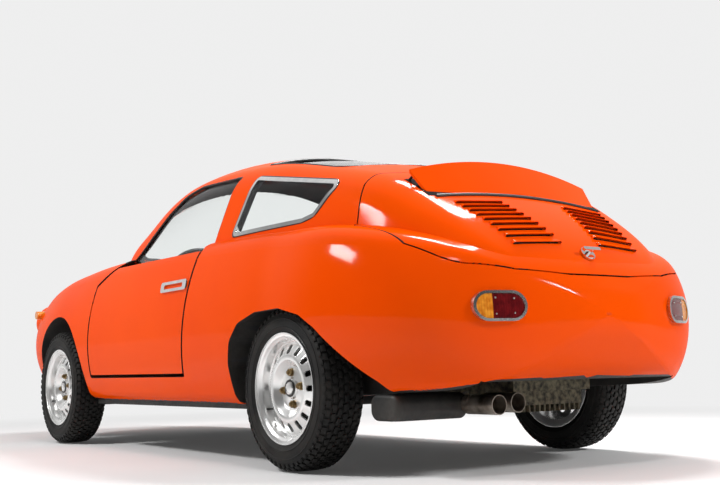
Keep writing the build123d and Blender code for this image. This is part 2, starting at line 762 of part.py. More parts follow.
tip_radius, tip_wall, tip_length = 28, 2, 110
tip_places = [(0, 0), (-72, -4)]
collector_end = silencer_place[0] - silencer_length / 2 - fit
with BuildPart() as exhaust_tips:
    with BuildSketch(Plane((collector_end, 300, 200), x_dir=(0, 1, 0), z_dir=(-1, 0, 0))) as collector:
        with Locations((-36, -2)):
            RectangleRounded(130, 50, 20)
    extrude(amount=24)
    with BuildSketch(Plane((collector_end, 300, 200), x_dir=(0, 1, 0), z_dir=(-1, 0, 0))):
        with Locations(*tip_places):
            Circle(tip_radius)
    extrude(amount=tip_length + 20)
    with BuildSketch(Plane((collector_end - 30, 300, 200), x_dir=(0, 1, 0), z_dir=(-1, 0, 0))):
        with Locations(*tip_places):
            Circle(tip_radius - tip_wall)
    extrude(amount=tip_length, mode=Mode.SUBTRACT)
finish(exhaust_tips, "exhaust_tips")

def standing_proud(prism, dx, dy):
    """The part of a prism that stands proud of the lower body by dx and dy."""
    with BuildPart() as piece:
        add(prism)
        add(hull_proud.part.moved(Location((dx, dy, 0))), mode=Mode.INTERSECT)
        add(hull_proud.part, mode=Mode.SUBTRACT)
    return piece.part


def tail_prism(length, height, y_from, y_to):
    """Prism along X at the left tail lamp, with round ends, between two heights along Y."""
    with BuildPart() as prism:
        with BuildSketch(Plane.YZ.offset(-1800)):
            with Locations((lamp_y, lamp_z)):
                SlotOverall(length, height)
        extrude(amount=300)
        add(block(-1800, -1500, y_from, y_to, 0, 1000), mode=Mode.INTERSECT)
    return prism.part


# fittings that stand proud of the lower body: tail lamps of two lenses in a thin bezel
lamp_y, lamp_z = 372, 470
lamp_length, lamp_height, lamp_bezel = 150, 84, 8
lamp_split = lamp_y + 22
lens_proud, bezel_proud = -9, -12
lens = (lamp_length - 2 * lamp_bezel, lamp_height - 2 * lamp_bezel)
with BuildPart() as tail_lamps_red:
    add(standing_proud(tail_prism(*lens, 0, lamp_split), lens_proud, 0))
    mirror(about=Plane.XZ)
finish(tail_lamps_red, "tail_lamps_red")

with BuildPart() as tail_lamps_amber:
    add(standing_proud(tail_prism(*lens, lamp_split + fit, 1000), lens_proud, 0))
    mirror(about=Plane.XZ)
finish(tail_lamps_amber, "tail_lamps_amber")

headlamp_radius = 84
headlamp_rim = 9
headlamp_place = (440, 575)
headlamp_face = 1660
headlamp_root = 1540
with BuildPart() as headlamps:
    with BuildSketch(Plane.YZ.offset(headlamp_root)):
        with Locations(headlamp_place):
            Circle(headlamp_radius)
    extrude(amount=headlamp_face - headlamp_root)
    add(hull_proud.part, mode=Mode.SUBTRACT)
    mirror(about=Plane.XZ)
finish(headlamps, "headlamps")

with BuildPart() as headlamp_ring:
    with BuildSketch(Plane.YZ.offset(headlamp_root)):
        with Locations(headlamp_place):
            Circle(headlamp_radius + headlamp_rim)
            Circle(headlamp_radius + fit, mode=Mode.SUBTRACT)
    extrude(amount=headlamp_face - 8 - headlamp_root)
    add(hull_proud.part, mode=Mode.SUBTRACT)
with BuildPart() as lamp_bezels:
    add(standing_proud(tail_prism(lamp_length, lamp_height, 0, 1000), bezel_proud, 0))
    add(tail_prism(lens[0] + 2 * fit, lens[1] + 2 * fit, 0, 1000), mode=Mode.SUBTRACT)
    add(headlamp_ring.part)
    mirror(about=Plane.XZ)
finish(lamp_bezels, "lamp_bezels")

with BuildPart() as front_indicators:
    add(cross_bar(1485, 608, 20, 480, 590))
    add(hull_proud.part, mode=Mode.SUBTRACT)
    mirror(about=Plane.XZ)
finish(front_indicators, "front_indicators")

grille_length, grille_height, grille_z = 460, 110, 450
grille_bars = 15
with BuildPart() as grille:
    with BuildSketch(Plane.YZ.offset(1600)):
        with Locations((0, grille_z)):
            SlotOverall(grille_length, grille_height)
            SlotOverall(grille_length - 20, grille_height - 20, mode=Mode.SUBTRACT)
        with GridLocations(grille_length / (grille_bars + 1), 0, grille_bars, 1):
            with Locations((0, grille_z)):
                Rectangle(5, grille_height - 16)
    extrude(amount=half_length - 1600)
    add(hull_proud.part, mode=Mode.SUBTRACT)
finish(grille, "grille")

handle_place = (-273, 622)
handle_proud = 8
handle_length, handle_height, pull_length, pull_height = 220, 38, 160, 16
with BuildPart() as handle_stock:
    with BuildSketch(Plane.XZ.offset(-outside)):
        with Locations(handle_place):
            RectangleRounded(handle_length, handle_height, 10)
            RectangleRounded(pull_length, pull_height, 5, mode=Mode.SUBTRACT)
    extrude(amount=outside)
with BuildPart() as door_handle_left:
    add(standing_proud(handle_stock.part, 0, handle_proud))
finish(door_handle_left, "door_handle_left")
with BuildPart() as door_handle_right:
    add(mirror(door_handle_left.part, about=Plane.XZ, mode=Mode.PRIVATE))
finish(door_handle_right, "door_handle_right")

catch_x = -1672
catch_z = fair_row(house_table, catch_x)[5]
catch_slope = Vector(-1, 0, (fair_row(house_table, catch_x - 1)[5] - catch_z))
catch_plane = Plane((catch_x, 0, catch_z), x_dir=(0, 1, 0), z_dir=catch_slope.cross(Vector(0, -1, 0)))
with BuildPart() as lid_catch:
    with BuildSketch(catch_plane.offset(2)):
        Circle(24)
    extrude(amount=6)
    with BuildSketch(catch_plane.offset(8)):
        Circle(7)
    extrude(amount=18)
    with BuildSketch(catch_plane.offset(20)):
        SlotOverall(70, 12)
    extrude(amount=9)
finish(lid_catch, "lid_catch")
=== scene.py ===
from math import atan2, cos, pi, radians, sin, sqrt

import bpy
import numpy as np
from mathutils import Matrix, Vector
from mathutils.bvhtree import BVHTree


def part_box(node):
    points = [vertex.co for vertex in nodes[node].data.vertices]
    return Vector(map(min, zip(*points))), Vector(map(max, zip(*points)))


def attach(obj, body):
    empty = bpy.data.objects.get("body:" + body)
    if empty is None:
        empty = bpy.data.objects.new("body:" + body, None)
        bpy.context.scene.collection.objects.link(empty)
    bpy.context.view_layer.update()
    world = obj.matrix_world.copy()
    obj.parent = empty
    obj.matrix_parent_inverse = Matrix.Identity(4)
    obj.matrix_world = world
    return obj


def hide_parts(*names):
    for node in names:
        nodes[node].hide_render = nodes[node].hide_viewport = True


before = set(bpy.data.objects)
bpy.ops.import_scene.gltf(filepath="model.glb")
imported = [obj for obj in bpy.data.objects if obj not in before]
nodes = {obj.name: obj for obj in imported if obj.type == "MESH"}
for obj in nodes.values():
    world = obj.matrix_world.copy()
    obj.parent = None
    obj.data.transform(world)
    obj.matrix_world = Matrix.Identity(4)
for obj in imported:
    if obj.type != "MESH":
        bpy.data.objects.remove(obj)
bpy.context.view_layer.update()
bpy.ops.object.select_all(action="DESELECT")

# The camera stands low behind the car's left rear corner, where the photograph was taken from.
# Its place, turn and tilt are those of the fitted view, with a 53.5 mm lens on a 36 mm sensor.
eye = (-3.851, 2.346, 0.308)
yaw, pitch, roll = radians(-35.11), radians(6.73), radians(-1.20)
bpy.ops.object.camera_add(location=eye)
camera = bpy.context.object
camera.name = "camera"
ahead = Vector((cos(yaw) * cos(pitch), sin(yaw) * cos(pitch), sin(pitch)))
right = ahead.cross(Vector((0, 0, 1))).normalized()
upward = right.cross(ahead)
right, upward = right * cos(roll) + upward * sin(roll), upward * cos(roll) - right * sin(roll)
camera.rotation_euler = Matrix((right, upward, -ahead)).transposed().to_euler()
camera.data.lens = 53.52
camera.data.sensor_width = 36
camera.data.clip_end = 100
bpy.context.scene.camera = camera
bpy.context.scene.view_settings.view_transform = "Standard"

# The floor is one wide plain white sheet, very slightly clouded. It takes the car's shadow close by and glows
# more and more away from it, so that it fades into the white background without an edge.
background = 0.86
floor_width, floor_height = 90, -0.001
fade_start, fade_end = 1.7, 4.4
bpy.ops.mesh.primitive_plane_add(size=floor_width, location=(0, 0, floor_height))
floor = bpy.context.object
floor.name = "studio_floor"
floor_paint = bpy.data.materials.new("studio_floor_white")
floor_paint.use_nodes = True
tree = floor_paint.node_tree
tree.nodes.clear()


def node_in(tree, kind, **inputs):
    """A new shader node in a tree, with the values of its named inputs."""
    node = tree.nodes.new(f"ShaderNode{kind}")
    for label, value in inputs.items():
        node.inputs[label.replace("_", " ")].default_value = value
    return node


def wire_up(tree, *wires):
    """Link nodes; each wire names a node, its output, the next node and its input."""
    for source, output, target, entry in wires:
        tree.links.new(source.outputs[output], target.inputs[entry])


out = node_in(tree, "OutputMaterial")
shade = node_in(tree, "BsdfDiffuse")
glow = node_in(tree, "Emission", Color=(background, background, background, 1))
mix = node_in(tree, "MixShader")
clouds = node_in(tree, "TexNoise", Scale=1.3)
place = node_in(tree, "TexCoord")
tone = node_in(tree, "MapRange", To_Min=0.80, To_Max=0.88)
reach = node_in(tree, "VectorMath")
fade = node_in(tree, "MapRange", From_Min=fade_start, From_Max=fade_end, To_Min=0.05)
reach.operation = "LENGTH"
fade.interpolation_type = "SMOOTHSTEP"
wire_up(
    tree,
    (place, "Object", clouds, "Vector"),
    (clouds, "Fac", tone, "Value"),
    (tone, "Result", shade, "Color"),
    (place, "Object", reach, 0),
    (reach, "Value", fade, "Value"),
    (fade, "Result", mix, "Fac"),
    (shade, "BSDF", mix, 1),
    (glow, "Emission", mix, 2),
    (mix, "Shader", out, "Surface"),
)
floor.data.materials.append(floor_paint)

# The world is a white room. The camera sees it plain, and so does what is seen through glass. Gloss mirrors a
# room that is white ahead of the car and dark on the camera's side, and soft light fills in from above.
white = (1, 1, 1, 1)
bright_side, fill_side = (0.80, -0.56, 0.22), (0.45, -0.35, 0.82)
world = bpy.data.worlds.new("studio")
bpy.context.scene.world = world
world.use_nodes = True
tree = world.node_tree
tree.nodes.clear()
out = node_in(tree, "OutputWorld")
seen = node_in(tree, "Background", Color=(background, background, background, 1))
mirrored = node_in(tree, "Background", Color=white)
fill = node_in(tree, "Background", Color=white)
straight = node_in(tree, "MixShader")
glossy = node_in(tree, "MixShader")
through = node_in(tree, "Math")
ray = node_in(tree, "LightPath")
direction = node_in(tree, "TexCoord")
towards = node_in(tree, "VectorMath")
above = node_in(tree, "VectorMath")
room = node_in(tree, "MapRange", From_Min=0.15, From_Max=0.80, To_Min=0.03, To_Max=background)
softness = node_in(tree, "MapRange", From_Min=-0.2, From_Max=0.8, To_Min=0.06, To_Max=0.50)
through.operation = "MAXIMUM"
towards.operation = "DOT_PRODUCT"
towards.inputs[1].default_value = bright_side
above.operation = "DOT_PRODUCT"
above.inputs[1].default_value = fill_side
room.interpolation_type = "SMOOTHSTEP"
wire_up(
    tree,
    (ray, "Is Camera Ray", through, 0),
    (ray, "Is Transmission Ray", through, 1),
    (direction, "Generated", towards, 0),
    (towards, "Value", room, "Value"),
    (room, "Result", mirrored, "Strength"),
    (direction, "Generated", above, 0),
    (above, "Value", softness, "Value"),
    (softness, "Result", fill, "Strength"),
    (ray, "Is Glossy Ray", glossy, "Fac"),
    (fill, "Background", glossy, 1),
    (mirrored, "Background", glossy, 2),
    (through, "Value", straight, "Fac"),
    (glossy, "Shader", straight, 1),
    (seen, "Background", straight, 2),
    (straight, "Shader", out, "Surface"),
)

# Four soft banks hang round the car: one over its right side, one high on its left, one behind its right
# shoulder and a weak one over the tail. They are small, so that the paint mirrors them as bright patches.
# name, place, what it is aimed at, width and height, watts
for name, place, aim, size, power in (
    ("bank_above", (-0.2, -1.2, 3.4), (-0.5, 0, 0.5), (1.1, 0.6), 110),
    ("bank_left", (0.9, 3.6, 3.5), (-0.3, 0.4, 0.5), (1.2, 0.6), 130),
    ("bank_behind", (-5.0, -2.4, 3.0), (-1.5, 0, 0.5), (0.7, 0.6), 130),
    ("bank_over_tail", (-3.4, 1.1, 3.6), (-1.3, 0.2, 0.7), (0.8, 0.5), 35),
):
    bpy.ops.object.light_add(type="AREA", location=place)
    bank = bpy.context.object
    bank.name = name
    bank.rotation_euler = (Vector(aim) - Vector(place)).to_track_quat("-Z", "Y").to_euler()
    bank.data.shape = "RECTANGLE"
    bank.data.size, bank.data.size_y = size
    bank.data.energy = power

# The finish of every piece is mottled a little, as real paint, metal, rubber and leather are: this group
# gives a colour, a roughness and a fine relief that change over the surface at the given scale.
patina = bpy.data.node_groups.new("patina", "ShaderNodeTree")
for side, kind, labels in (
    ("INPUT", "NodeSocketFloat", ("Scale", "Grain", "Smooth", "Rough")),
    ("INPUT", "NodeSocketColor", ("First Colour", "Second Colour")),
    ("OUTPUT", "NodeSocketColor", ("Colour",)),
    ("OUTPUT", "NodeSocketFloat", ("Roughness", "Height")),
):
    for label in labels:
        patina.interface.new_socket(label, in_out=side, socket_type=kind)
given = patina.nodes.new("NodeGroupInput")
result = patina.nodes.new("NodeGroupOutput")
where = node_in(patina, "TexCoord")
clouds = node_in(patina, "TexNoise", Detail=5)
grain = node_in(patina, "TexNoise", Detail=2)
spread = node_in(patina, "MapRange", From_Min=0.35, From_Max=0.65)
gloss = node_in(patina, "MapRange")
blend = node_in(patina, "Mix")
blend.data_type = "RGBA"
wire_up(
    patina,
    (where, "Object", clouds, "Vector"),
    (where, "Object", grain, "Vector"),
    (given, "Scale", clouds, "Scale"),
    (given, "Grain", grain, "Scale"),
    (clouds, "Fac", spread, "Value"),
    (spread, "Result", blend, "Factor"),
    (given, "First Colour", blend, "A"),
    (given, "Second Colour", blend, "B"),
    (blend, "Result", result, "Colour"),
    (grain, "Fac", gloss, "Value"),
    (given, "Smooth", gloss, "To Min"),
    (given, "Rough", gloss, "To Max"),
    (gloss, "Result", result, "Roughness"),
    (grain, "Fac", result, "Height"),
)


def finish_of(name, first, second, smooth, rough, scale=4.0, grain=60.0, relief=0.0, **sockets):
    """A material whose colour and gloss vary between two values; sockets are the shader's own constants."""
    material = bpy.data.materials.new(name)
    material.use_nodes = True
    tree = material.node_tree
    shader = tree.nodes["Principled BSDF"]
    mottle = node_in(tree, "Group")
    mottle.node_tree = patina
    for label, value in (("Scale", scale), ("Grain", grain), ("First Colour", (*first, 1)),
                         ("Second Colour", (*second, 1)), ("Smooth", smooth), ("Rough", rough)):
        mottle.inputs[label].default_value = value
    wire_up(tree, (mottle, "Colour", shader, "Base Color"), (mottle, "Roughness", shader, "Roughness"))
    if relief:
        bump = node_in(tree, "Bump", Distance=relief, Strength=0.6)
        wire_up(tree, (mottle, "Height", bump, "Height"), (bump, "Normal", shader, "Normal"))
    for socket, value in sockets.items():
        shader.inputs[socket.replace("_", " ")].default_value = value
    return material


def dress(node, *materials):
    """Give a CAD node its finish."""
    nodes[node].data.materials.clear()
    for material in materials:
        nodes[node].data.materials.append(material)


# Body, doors and lids are beaten steel in a gloss orange-red, under a clear, freshly polished top coat.
# What faces inwards is not polished: cabin trim is charcoal, wheel wells and engine bay are satin black.
# The black and the charcoal also go on the walls of the panel gaps and under the louvre hoods, where they are
# painted shade.
orange = finish_of("orange_gloss", (0.84, 0.066, 0.0005), (0.88, 0.078, 0.001), 0.4, 0.5, scale=1.5,
                   grain=300, Coat_Weight=0.22, Coat_Roughness=0.09, Coat_IOR=1.5, Specular_IOR_Level=0.0)
bay_and_shade_black = finish_of("bay_and_shade_black", (0.012, 0.011, 0.011), (0.03, 0.028, 0.025), 0.45, 0.75, scale=9,
                      grain=120, relief=0.0006)
cabin_trim_and_shade = finish_of("cabin_trim_and_shade", (0.018, 0.018, 0.02), (0.028, 0.028, 0.03), 0.6, 0.8, scale=14,
                       grain=700, relief=0.0003)

# The painted body is hand-beaten steel: a lower body whose section swells to the hips, and a roof and
# fastback that sit on it with a soft valley between. Both forms are laid out here as fair sections,
# half widths and heights in metres from nose to tail, and give every panel its true curvature.
# x, half bottom, z bottom, half widest, z widest, half shoulder, z shoulder, z crown, r bottom, r shoulder
lower_sections = [
    (1.740, 0.150, 0.400, 0.170, 0.480, 0.150, 0.545, 0.552, 0.030, 0.030),
    (1.700, 0.300, 0.325, 0.372, 0.475, 0.320, 0.600, 0.622, 0.040, 0.060),
    (1.610, 0.430, 0.268, 0.515, 0.478, 0.430, 0.650, 0.670, 0.050, 0.080),
    (1.450, 0.520, 0.242, 0.600, 0.490, 0.500, 0.700, 0.722, 0.050, 0.100),
    (1.000, 0.585, 0.225, 0.655, 0.500, 0.545, 0.762, 0.782, 0.050, 0.110),
    (0.500, 0.608, 0.200, 0.660, 0.490, 0.590, 0.775, 0.805, 0.050, 0.100),
    (-0.200, 0.622, 0.200, 0.672, 0.490, 0.615, 0.768, 0.810, 0.050, 0.090),
    (-0.800, 0.632, 0.200, 0.686, 0.490, 0.625, 0.752, 0.800, 0.050, 0.090),
    (-1.200, 0.620, 0.230, 0.688, 0.480, 0.625, 0.728, 0.780, 0.050, 0.100),
    (-1.420, 0.570, 0.238, 0.652, 0.465, 0.575, 0.690, 0.740, 0.055, 0.100),
    (-1.580, 0.470, 0.250, 0.562, 0.455, 0.480, 0.640, 0.680, 0.055, 0.100),
    (-1.690, 0.310, 0.290, 0.385, 0.450, 0.320, 0.575, 0.605, 0.045, 0.080),
    (-1.740, 0.150, 0.370, 0.180, 0.450, 0.150, 0.515, 0.530, 0.030, 0.030),
]
# x, half foot, z foot, half eave, z eave, z crown, r eave
upper_sections = [
    (0.760, 0.250, 0.560, 0.200, 0.690, 0.715, 0.040),
    (0.600, 0.470, 0.600, 0.420, 0.770, 0.812, 0.060),
    (0.520, 0.540, 0.620, 0.490, 0.795, 0.880, 0.080),
    (0.450, 0.565, 0.620, 0.512, 0.830, 0.940, 0.095),
    (0.300, 0.585, 0.620, 0.515, 0.890, 1.038, 0.115),
    (0.120, 0.597, 0.620, 0.522, 0.952, 1.116, 0.130),
    (-0.150, 0.604, 0.620, 0.528, 1.006, 1.155, 0.145),
    (-0.500, 0.604, 0.620, 0.520, 1.012, 1.112, 0.150),
    (-1.000, 0.580, 0.620, 0.490, 0.945, 1.000, 0.150),
    (-1.250, 0.560, 0.600, 0.475, 0.880, 0.920, 0.150),
    (-1.450, 0.520, 0.560, 0.440, 0.770, 0.808, 0.140),
    (-1.620, 0.440, 0.500, 0.380, 0.640, 0.688, 0.120),
    (-1.712, 0.250, 0.470, 0.220, 0.545, 0.575, 0.060),
]


def fair_row(table, x):
    """The row of a section table at station x, on smooth curves that never overshoot its rows."""
    rows = np.array(sorted(table))
    xs = rows[:, 0]
    low = int(min(max(np.searchsorted(xs, x, side="right") - 1, 0), len(xs) - 2))
    steps = np.diff(xs)[:, None]
    rates = np.diff(rows, axis=0) / steps
    slopes = np.vstack([rates[:1], np.zeros_like(rates[1:]), rates[-1:]])
    for k in range(1, len(xs) - 1):
        before, after = rates[k - 1], rates[k]
        w_before, w_after = 2 * steps[k] + steps[k - 1], steps[k] + 2 * steps[k - 1]
        same = before * after > 0
        slopes[k][same] = ((w_before + w_after) / (w_before / np.where(same, before, 1)
                                                   + w_after / np.where(same, after, 1)))[same]
    step = steps[low]
    t = (x - xs[low]) / step
    return ((2 * t**3 - 3 * t**2 + 1) * rows[low] + (t**3 - 2 * t**2 + t) * slopes[low] * step
            + (3 * t**2 - 2 * t**3) * rows[low + 1] + (t**3 - t**2) * slopes[low + 1] * step)[1:]


def arc_through(start, middle, end):
    """Centre and radius of the arc through three points of a section."""
    a, b, c = (complex(*p) for p in (start, middle, end))
    w = (c - a) / (b - a)
    centre = a - (a - b) * (w - abs(w) ** 2) / (2j * w.imag)
    centre = complex(centre)
    return centre, abs(centre - a)


def sweep(centre, start, end, count):
    """Points along an arc from start to end, the short way round."""
    a, b = np.angle(start - centre), np.angle(end - centre)
    turn = (b - a + pi) % (2 * pi) - pi
    return [centre + abs(start - centre) * np.exp(1j * (a + turn * k / count)) for k in range(count + 1)]


def lower_section(x):
    """Points of the lower body's section at x, from the middle of the floor up the left side to the top."""
    hb, zb, hw, zw, hs, zs, zc, rb, rs = fair_row(lower_sections, x)
    side, side_r = arc_through((hb, zb), (hw, zw), (hs, zs))
    top, top_r = arc_through((hs, zs), (0, zc), (-hs, zs))
    foot_z = zb + rb
    foot = complex(side.real + sqrt((side_r - rb) ** 2 - (foot_z - side.imag) ** 2), foot_z)
    gap = abs(top - side)
    along = ((side_r - rs) ** 2 - (top_r - rs) ** 2 + gap**2) / (2 * gap)
    unit = (top - side) / gap
    rise = sqrt(max((side_r - rs) ** 2 - along**2, 0))
    corner = max((side + unit * along + unit * 1j * turn * rise for turn in (1, -1)), key=lambda p: p.real)
    low_end = side + (foot - side) / abs(foot - side) * side_r
    high_start = side + (corner - side) / abs(corner - side) * side_r
    top_start = top + (corner - top) / abs(corner - top) * top_r
    points = [complex(foot.real * k / 6, zb) for k in range(6)]
    points += sweep(foot, complex(foot.real, zb), low_end, 8)
    points += sweep(side, low_end, high_start, 24)[1:]
    points += sweep(corner, high_start, top_start, 12)[1:]
    points += sweep(top, top_start, complex(0, zc), 20)[1:]
    return points


def upper_section(x):
    """Points of the roof's section at x, from the foot of the left side to the top."""
    hf, zf, he, ze, zc, r = fair_row(upper_sections, x)
    top, top_r = arc_through((he, ze), (0, zc), (-he, ze))
    foot, eave = complex(hf, zf), complex(he, ze)
    along = (eave - foot) / abs(eave - foot)
    inward = along * 1j
    # the eave's centre lies r inside the side line and r inside the roof's arc
    base = foot + inward * r
    b = ((base - top) * along.conjugate()).real
    c = abs(base - top) ** 2 - (top_r - r) ** 2
    centre = base + along * (-b + sqrt(max(b * b - c, 0)))
    side_end = centre - inward * r
    top_start = top + (centre - top) / abs(centre - top) * top_r
    points = [foot + (side_end - foot) * k / 12 for k in range(12)]
    points += sweep(centre, side_end, top_start, 16)
    points += sweep(top, top_start, complex(0, zc), 20)[1:]
    return points


def skin_tree(section, front, rear, count):
    """Search tree over the finely divided skin through the sections, on the car's left."""
    rings = []
    for k in range(count + 1):
        x = (front + rear) / 2 + (front - rear) / 2 * cos(pi * k / count)
        rings.append([Vector((x, p.real, p.imag)) for p in section(x)])
    width = len(rings[0])
    faces = [(i * width + j, i * width + j + 1, (i + 1) * width + j + 1, (i + 1) * width + j)
             for i in range(count) for j in range(width - 1)]
    return BVHTree.FromPolygons([p for ring in rings for p in ring], faces)


skin_rings = 140
lower_skin = skin_tree(lower_section, 1.739, -1.739, skin_rings)
upper_skin = skin_tree(upper_section, 0.759, -1.711, skin_rings)
PAINT, BAY_AND_SHADE, CABIN_AND_SHADE = 0, 1, 2
door_top = (0.73, 0.77)
louvre_height, paint_depth = 0.016, 0.0045
end_caps, underside = 1.73, 0.3
cabin_rear, cabin_front, cabin_floor, sill_inside, window_foot = -1.16, 0.65, 0.222, 0.57, 0.6


def inner_side(x, y, z, normal):
    """Which finish a face of the body takes: paint outside, bay black or cabin trim inside; gap walls and the
    insides of louvre hoods take black or charcoal as painted shade.
    """
    place = Vector((x, y, z))
    if normal.z > 0.8 and y > 0.5 and door_top[0] < z < door_top[1]:
        return PAINT
    nearest, outward, _, distance = min((tree.find_nearest(place) for tree in (lower_skin, upper_skin)),
                                        key=lambda found: found[3])
    if outward.dot(Vector((0.3 * x, y, z - 0.5))) < 0:
        outward.negate()
    stands_out = (place - nearest).dot(outward)
    # faces that turn inwards under the louvre hoods take black: painted shade in the slots
    if distance < louvre_height and stands_out > 0.0005:
        return PAINT if normal.dot(outward) > -0.25 else BAY_AND_SHADE
    if (distance < paint_depth or abs(x) > end_caps) and not (normal.z < -0.9 and z < underside):
        return PAINT
    # the rest, the walls of the panel gaps among it, takes charcoal or black: painted shade in the gaps
    in_cabin = cabin_rear < x < cabin_front and z > cabin_floor and (y < sill_inside or z > window_foot)
    return CABIN_AND_SHADE if in_cabin else BAY_AND_SHADE


def domed(points, faces, finishes, normals, end, rise):
    """Swap the flat end of the shell for a dome that carries on the curve of the metal round it.

    normals has one row for each corner of each face, and so has what comes back.
    """
    flat = np.all(np.abs(points[faces][:, :, 0] - end) < 1e-4, axis=1)
    keys = {}
    corners = np.array([keys.setdefault(tuple(np.round(p, 5)), len(keys))
                        for p in points[faces[flat]].reshape(-1, 3)])
    places = np.array(list(keys))
    edges = {}
    for a, b, c in corners.reshape(-1, 3):
        for pair in ((a, b), (b, c), (c, a)):
            edges[frozenset(pair)] = edges.get(frozenset(pair), 0) + 1
    rim = {k for pair, times in edges.items() if times == 1 for k in pair}
    middle = places[sorted(rim)].mean(axis=0)
    order = sorted(rim, key=lambda k: atan2(places[k][2] - middle[2], places[k][1] - middle[1]))
    border = places[order]
    around = {}
    for row, corner_normals in zip(faces[~flat], normals[~flat]):
        for vertex, normal in zip(row, corner_normals):
            if abs(points[vertex][0] - end) < 1e-4:
                around.setdefault(tuple(np.round(points[vertex], 5)), []).append(normal)
    edge_normals = np.array([np.mean(around[tuple(p)], axis=0) for p in border])
    outward = np.array([np.sign(end), 0, 0])
    rings, ring_normals = [], []
    steps = 10
    for k in range(steps + 1):
        share = 1 - k / steps if k < steps else 0.0
        ring = middle + (border - middle) * share
        ring[:, 0] = end + np.sign(end) * rise * (1 - share**2)
        blend = edge_normals * share + outward * (1 - share)
        rings.append(ring)
        ring_normals.append(blend / np.linalg.norm(blend, axis=1)[:, None])
    count = len(border)
    base = len(points)
    new_faces, new_normals = [], []
    for i in range(steps):
        for j in range(count):
            after = (j + 1) % count
            for triangle in (((i, j), (i, after), (i + 1, after)), ((i, j), (i + 1, after), (i + 1, j))):
                if end < 0:
                    triangle = triangle[::-1]
                new_faces.append([base + a * count + b for a, b in triangle])
                new_normals.append([ring_normals[a][b] for a, b in triangle])
    return (np.vstack([points, *rings]), np.vstack([faces[~flat], new_faces]),
            np.concatenate([finishes[~flat], np.full(len(new_faces), PAINT)]),
            np.vstack([normals[~flat], new_normals]))


def two_sided_panel(node, name, body, dome=0.0):
    """A copy of a panel, painted where it faces out, trimmed or undersealed where it faces in, and blacked on
    its gap walls as painted shade.
    """
    mesh = nodes[node].data
    points = np.array([v.co for v in mesh.vertices])
    faces = np.array([p.vertices for p in mesh.polygons])
    normals = np.array([n.vector for n in mesh.corner_normals]).reshape(-1, 3, 3)
    finishes = np.array([inner_side(p.center.x, abs(p.center.y), p.center.z,
                                    Vector((p.normal.x, p.normal.y * np.sign(p.center.y), p.normal.z)))
                         for p in mesh.polygons])
    if dome:
        for end in (lower_sections[0][0], lower_sections[-1][0]):
            points, faces, finishes, normals = domed(points, faces, finishes, normals, end, dome)
    skin = bpy.data.meshes.new(name)
    skin.from_pydata(points.tolist(), [], faces.tolist())
    skin.polygons.foreach_set("use_smooth", np.ones(len(faces), bool))
    skin.polygons.foreach_set("material_index", finishes)
    skin.normals_split_custom_set(normals.reshape(-1, 3).tolist())
    for material in (orange, bay_and_shade_black, cabin_trim_and_shade):
        skin.materials.append(material)
    panel = bpy.data.objects.new(name, skin)
    bpy.context.scene.collection.objects.link(panel)
    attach(panel, body)
    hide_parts(node)
    return panel


end_dome = 0.006
two_sided_panel("body_shell", "painted_body", "root", dome=end_dome)
for panel_body in ("door_left", "door_right", "front_lid", "engine_lid"):
    two_sided_panel(panel_body, f"painted_{panel_body}", panel_body)


# The air flap is one pressed sheet over the intake of the engine lid, painted above, with its underside
# blacked as painted shade.
# It is hinged along its upper edge and stands propped open on two pairs of stays.


def copy_of(node, name, *materials):
    """A copy of a CAD node with a mesh and finishes of its own."""
    piece = bpy.data.objects.new(name, nodes[node].data.copy())
    bpy.context.scene.collection.objects.link(piece)
    piece.data.materials.clear()
    for material in materials:
        piece.data.materials.append(material)
    return piece


flap = copy_of("air_flap", "painted_air_flap", orange, bay_and_shade_black)
# faces turned downwards take black: painted shade under the raised flap
for face in flap.data.polygons:
    face.material_index = int(face.normal.z < -0.1)
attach(flap, "engine_lid")
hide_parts("air_flap")

# Black rubber seals line the windscreen, the rear window and the windows in the doors, and edge the chrome
# frames of the fixed quarter windows. Each is one soft strip pressed round the rounded outline of its pane.
seal_rubber = finish_of("seal_rubber", (0.008, 0.008, 0.008), (0.018, 0.017, 0.017), 0.35, 0.6, scale=20,
                        grain=300, relief=0.0002)


def half_width(x, z):
    """Half width of the body's outer face at x and height z, where lower body or roof stands further out."""
    widest = 0.0
    for section in (lower_section(x) if abs(x) < 1.735 else [], upper_section(x) if -1.71 < x < 0.75 else []):
        zs = np.array([p.imag for p in section])
        ys = np.array([p.real for p in section])
        for k in np.where((zs[:-1] - z) * (zs[1:] - z) <= 0)[0]:
            part = (z - zs[k]) / (zs[k + 1] - zs[k]) if zs[k + 1] != zs[k] else 0.0
            widest = max(widest, ys[k] + (ys[k + 1] - ys[k]) * part)
    return widest


def roof_height(x, y):
    """Height of the roof's outer face over the point x, y."""
    section = upper_section(x)
    ys = np.array([p.real for p in section])
    k = int(np.argmax(ys < abs(y)))
    part = (abs(y) - ys[k - 1]) / (ys[k] - ys[k - 1])
    return section[k - 1].imag + (section[k].imag - section[k - 1].imag) * part


# how the two values of an outline's point are laid on the skin: x and height at a side, x and y on the roof
def on_left(u, v):
    return (u, half_width(u, v), v)


def on_right(u, v):
    return (u, -half_width(u, v), v)


def on_roof(u, v):
    return (u, v, roof_height(u, v))


def swept_round(wire, radius):
    """Make the active wire outline a round strip or rod with closed ends."""
    bpy.ops.object.convert(target="CURVE")
    wire.data.dimensions = "3D"
    wire.data.bevel_depth = radius
    wire.data.bevel_resolution = 3
    wire.data.use_fill_caps = True
    bpy.ops.object.convert(target="MESH")


def handed_over(piece, material, body):
    """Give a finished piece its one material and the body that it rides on."""
    piece.data.materials.clear()
    piece.data.materials.append(material)
    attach(piece, body)


